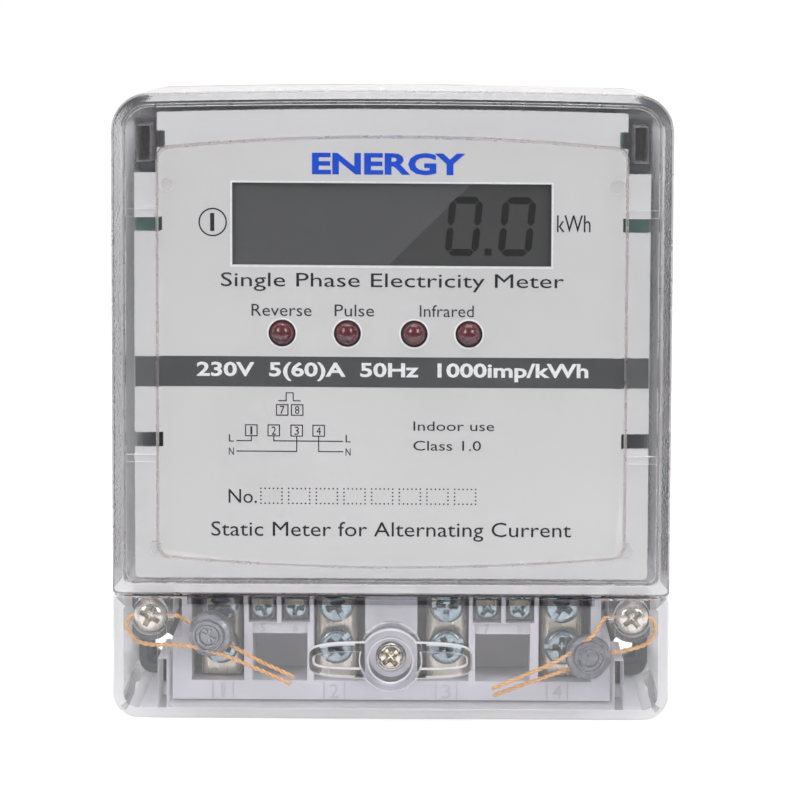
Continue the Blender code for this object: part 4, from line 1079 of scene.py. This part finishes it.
def segment(start, end, width):
    """One pointed bar of a seven-segment digit."""
    a, b = Vector(start), Vector(end)
    along = (b - a).normalized()
    across = Vector((-along.y, along.x)) * width / 2
    tip = along * width / 2
    points = [a, a + tip + across, b - tip + across, b, b - tip - across, a + tip - across]
    return [tuple(p) for p in points]


def display_digits():
    """A slanted 0.0 towards the right of the display."""
    depth = -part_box("lcd_glass")[0].y + 0.02 * MM
    width, height, thick, gap, slant = 5.3 * MM, 10.4 * MM, 1.4 * MM, 0.12 * MM, 0.10
    meshes = []
    base = 30.8 * MM
    for left in (11.2 * MM, 21.8 * MM):
        corners = {(i, j): (left + i * width, base + j * height / 2) for i in (0, 1) for j in (0, 1, 2)}
        bars = [((0, 0), (1, 0)), ((0, 2), (1, 2))]
        bars += [((0, 0), (0, 1)), ((0, 1), (0, 2)), ((1, 0), (1, 1)), ((1, 1), (1, 2))]
        for a, b in bars:
            start, end = Vector(corners[a]), Vector(corners[b])
            along = (end - start).normalized() * gap
            points = segment(start + along, end - along, thick)
            points = [(x + slant * (z - base), z) for x, z in points]
            meshes.append(polygon(points, depth))
    meshes.append(bar((18.5 * MM, 19.9 * MM), (base - 0.6 * MM, base + 0.8 * MM), depth))
    gather("display_digits", meshes, SEGMENT, "black_plastic")


def embossed_numbers():
    """Raised numbers on the block, darker than it as painted shade: 1 to 4 in ruled boxes on its lip, 5 to
    8 on the label strips.
    """
    front = -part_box("terminal_block")[0].y
    meshes = []
    for number, x in zip("1234", (-34.3, -11.6, 11.3, 33.9)):
        place_in = ((x - 0.9) * MM, (x + 0.9) * MM, -60.7 * MM, -57.8 * MM)
        meshes.append(flat_text(number, *place_in, front - 0.1 * MM, 0.35 * MM))
        for edge in (-2.1, 2.1):
            side = ((x + edge - 0.1) * MM, (x + edge + 0.1) * MM)
            meshes.append(bar(side, (-60.9 * MM, -57.4 * MM), front - 0.1 * MM, 0.3 * MM))
    for number, x in zip("5678", (-26.2, -19.5, 19.5, 26.2)):
        place_in = ((x - 0.5) * MM, (x + 0.5) * MM, -47.3 * MM, -45.7 * MM)
        meshes.append(flat_text(number, *place_in, front - 1.1 * MM, 0.25 * MM))
    gather("embossed_numbers", meshes, EMBOSSED_SHADE, "light_grey_plastic")


print_dial()
display_digits()
embossed_numbers()


# ---- floor and light


def area_light(name, place_at, target, size, energy):
    data = bpy.data.lights.new(name, "AREA")
    data.shape, data.energy = "RECTANGLE", energy
    data.size, data.size_y = size
    light = bpy.data.objects.new(name, data)
    scene.collection.objects.link(light)
    light.location = place_at
    light.rotation_euler = (Vector(target) - Vector(place_at)).to_track_quat("-Z", "Y").to_euler()


FLOOR_LOOK = Look("pale_floor", (0.93, 0.93, 0.93), 0.6)
FLOOR_LOOK.vary_colour(0.4, (0.92, 0.92, 0.92))
# The floor's edge is close in front of the meter, so that the flat clear covers don't mirror the floor.
FLOOR_HALF, FLOOR_FRONT_Y, FLOOR_BACK_Y = 4.0, -0.22, 12
floor_level = cad_box[0][2] - 0.2 * MM
bm = bmesh.new()
corners = corners_of(-FLOOR_HALF, FLOOR_HALF, FLOOR_FRONT_Y, FLOOR_BACK_Y)
bm.faces.new([bm.verts.new((x, y, floor_level)) for x, y in corners])
floor = new_object("floor", bm, FLOOR_LOOK)

# The surroundings are pale behind and above the meter and darker behind the camera.
world = bpy.data.worlds.new("studio")
scene.world = world
world.use_nodes = True
sky = world.node_tree
sky_place = sky.nodes.new("ShaderNodeTexCoord")
sky_split = sky.nodes.new("ShaderNodeSeparateXYZ")
sky_shade = sky.nodes.new("ShaderNodeMapRange")
fill(sky_shade, From_Min=-0.35, From_Max=0.05, To_Min=0.2, To_Max=1.03)
backdrop = fill(sky.nodes["Background"], Color=(1, 1, 1, 1))
sky.links.new(sky_place.outputs["Generated"], sky_split.inputs["Vector"])
sky.links.new(sky_split.outputs["Y"], sky_shade.inputs["Value"])
sky.links.new(sky_shade.outputs["Result"], backdrop.inputs["Strength"])

area_light("softbox_left", (-0.55, -0.75, 0.42), (0, -0.03, 0), (0.35, 0.5), 2.6)
area_light("softbox_right", (0.55, -0.75, 0.42), (0, -0.03, 0), (0.35, 0.5), 2.6)
area_light("softbox_top", (0, -0.1, 0.9), (0, 0, 0), (0.9, 0.6), 4)

sun_data = bpy.data.lights.new("overhead", "SUN")
sun_data.energy, sun_data.angle = 1.3, 0.8
scene.collection.objects.link(bpy.data.objects.new("overhead", sun_data))

scene.view_settings.view_transform = "Standard"
scene.view_settings.look = "None"
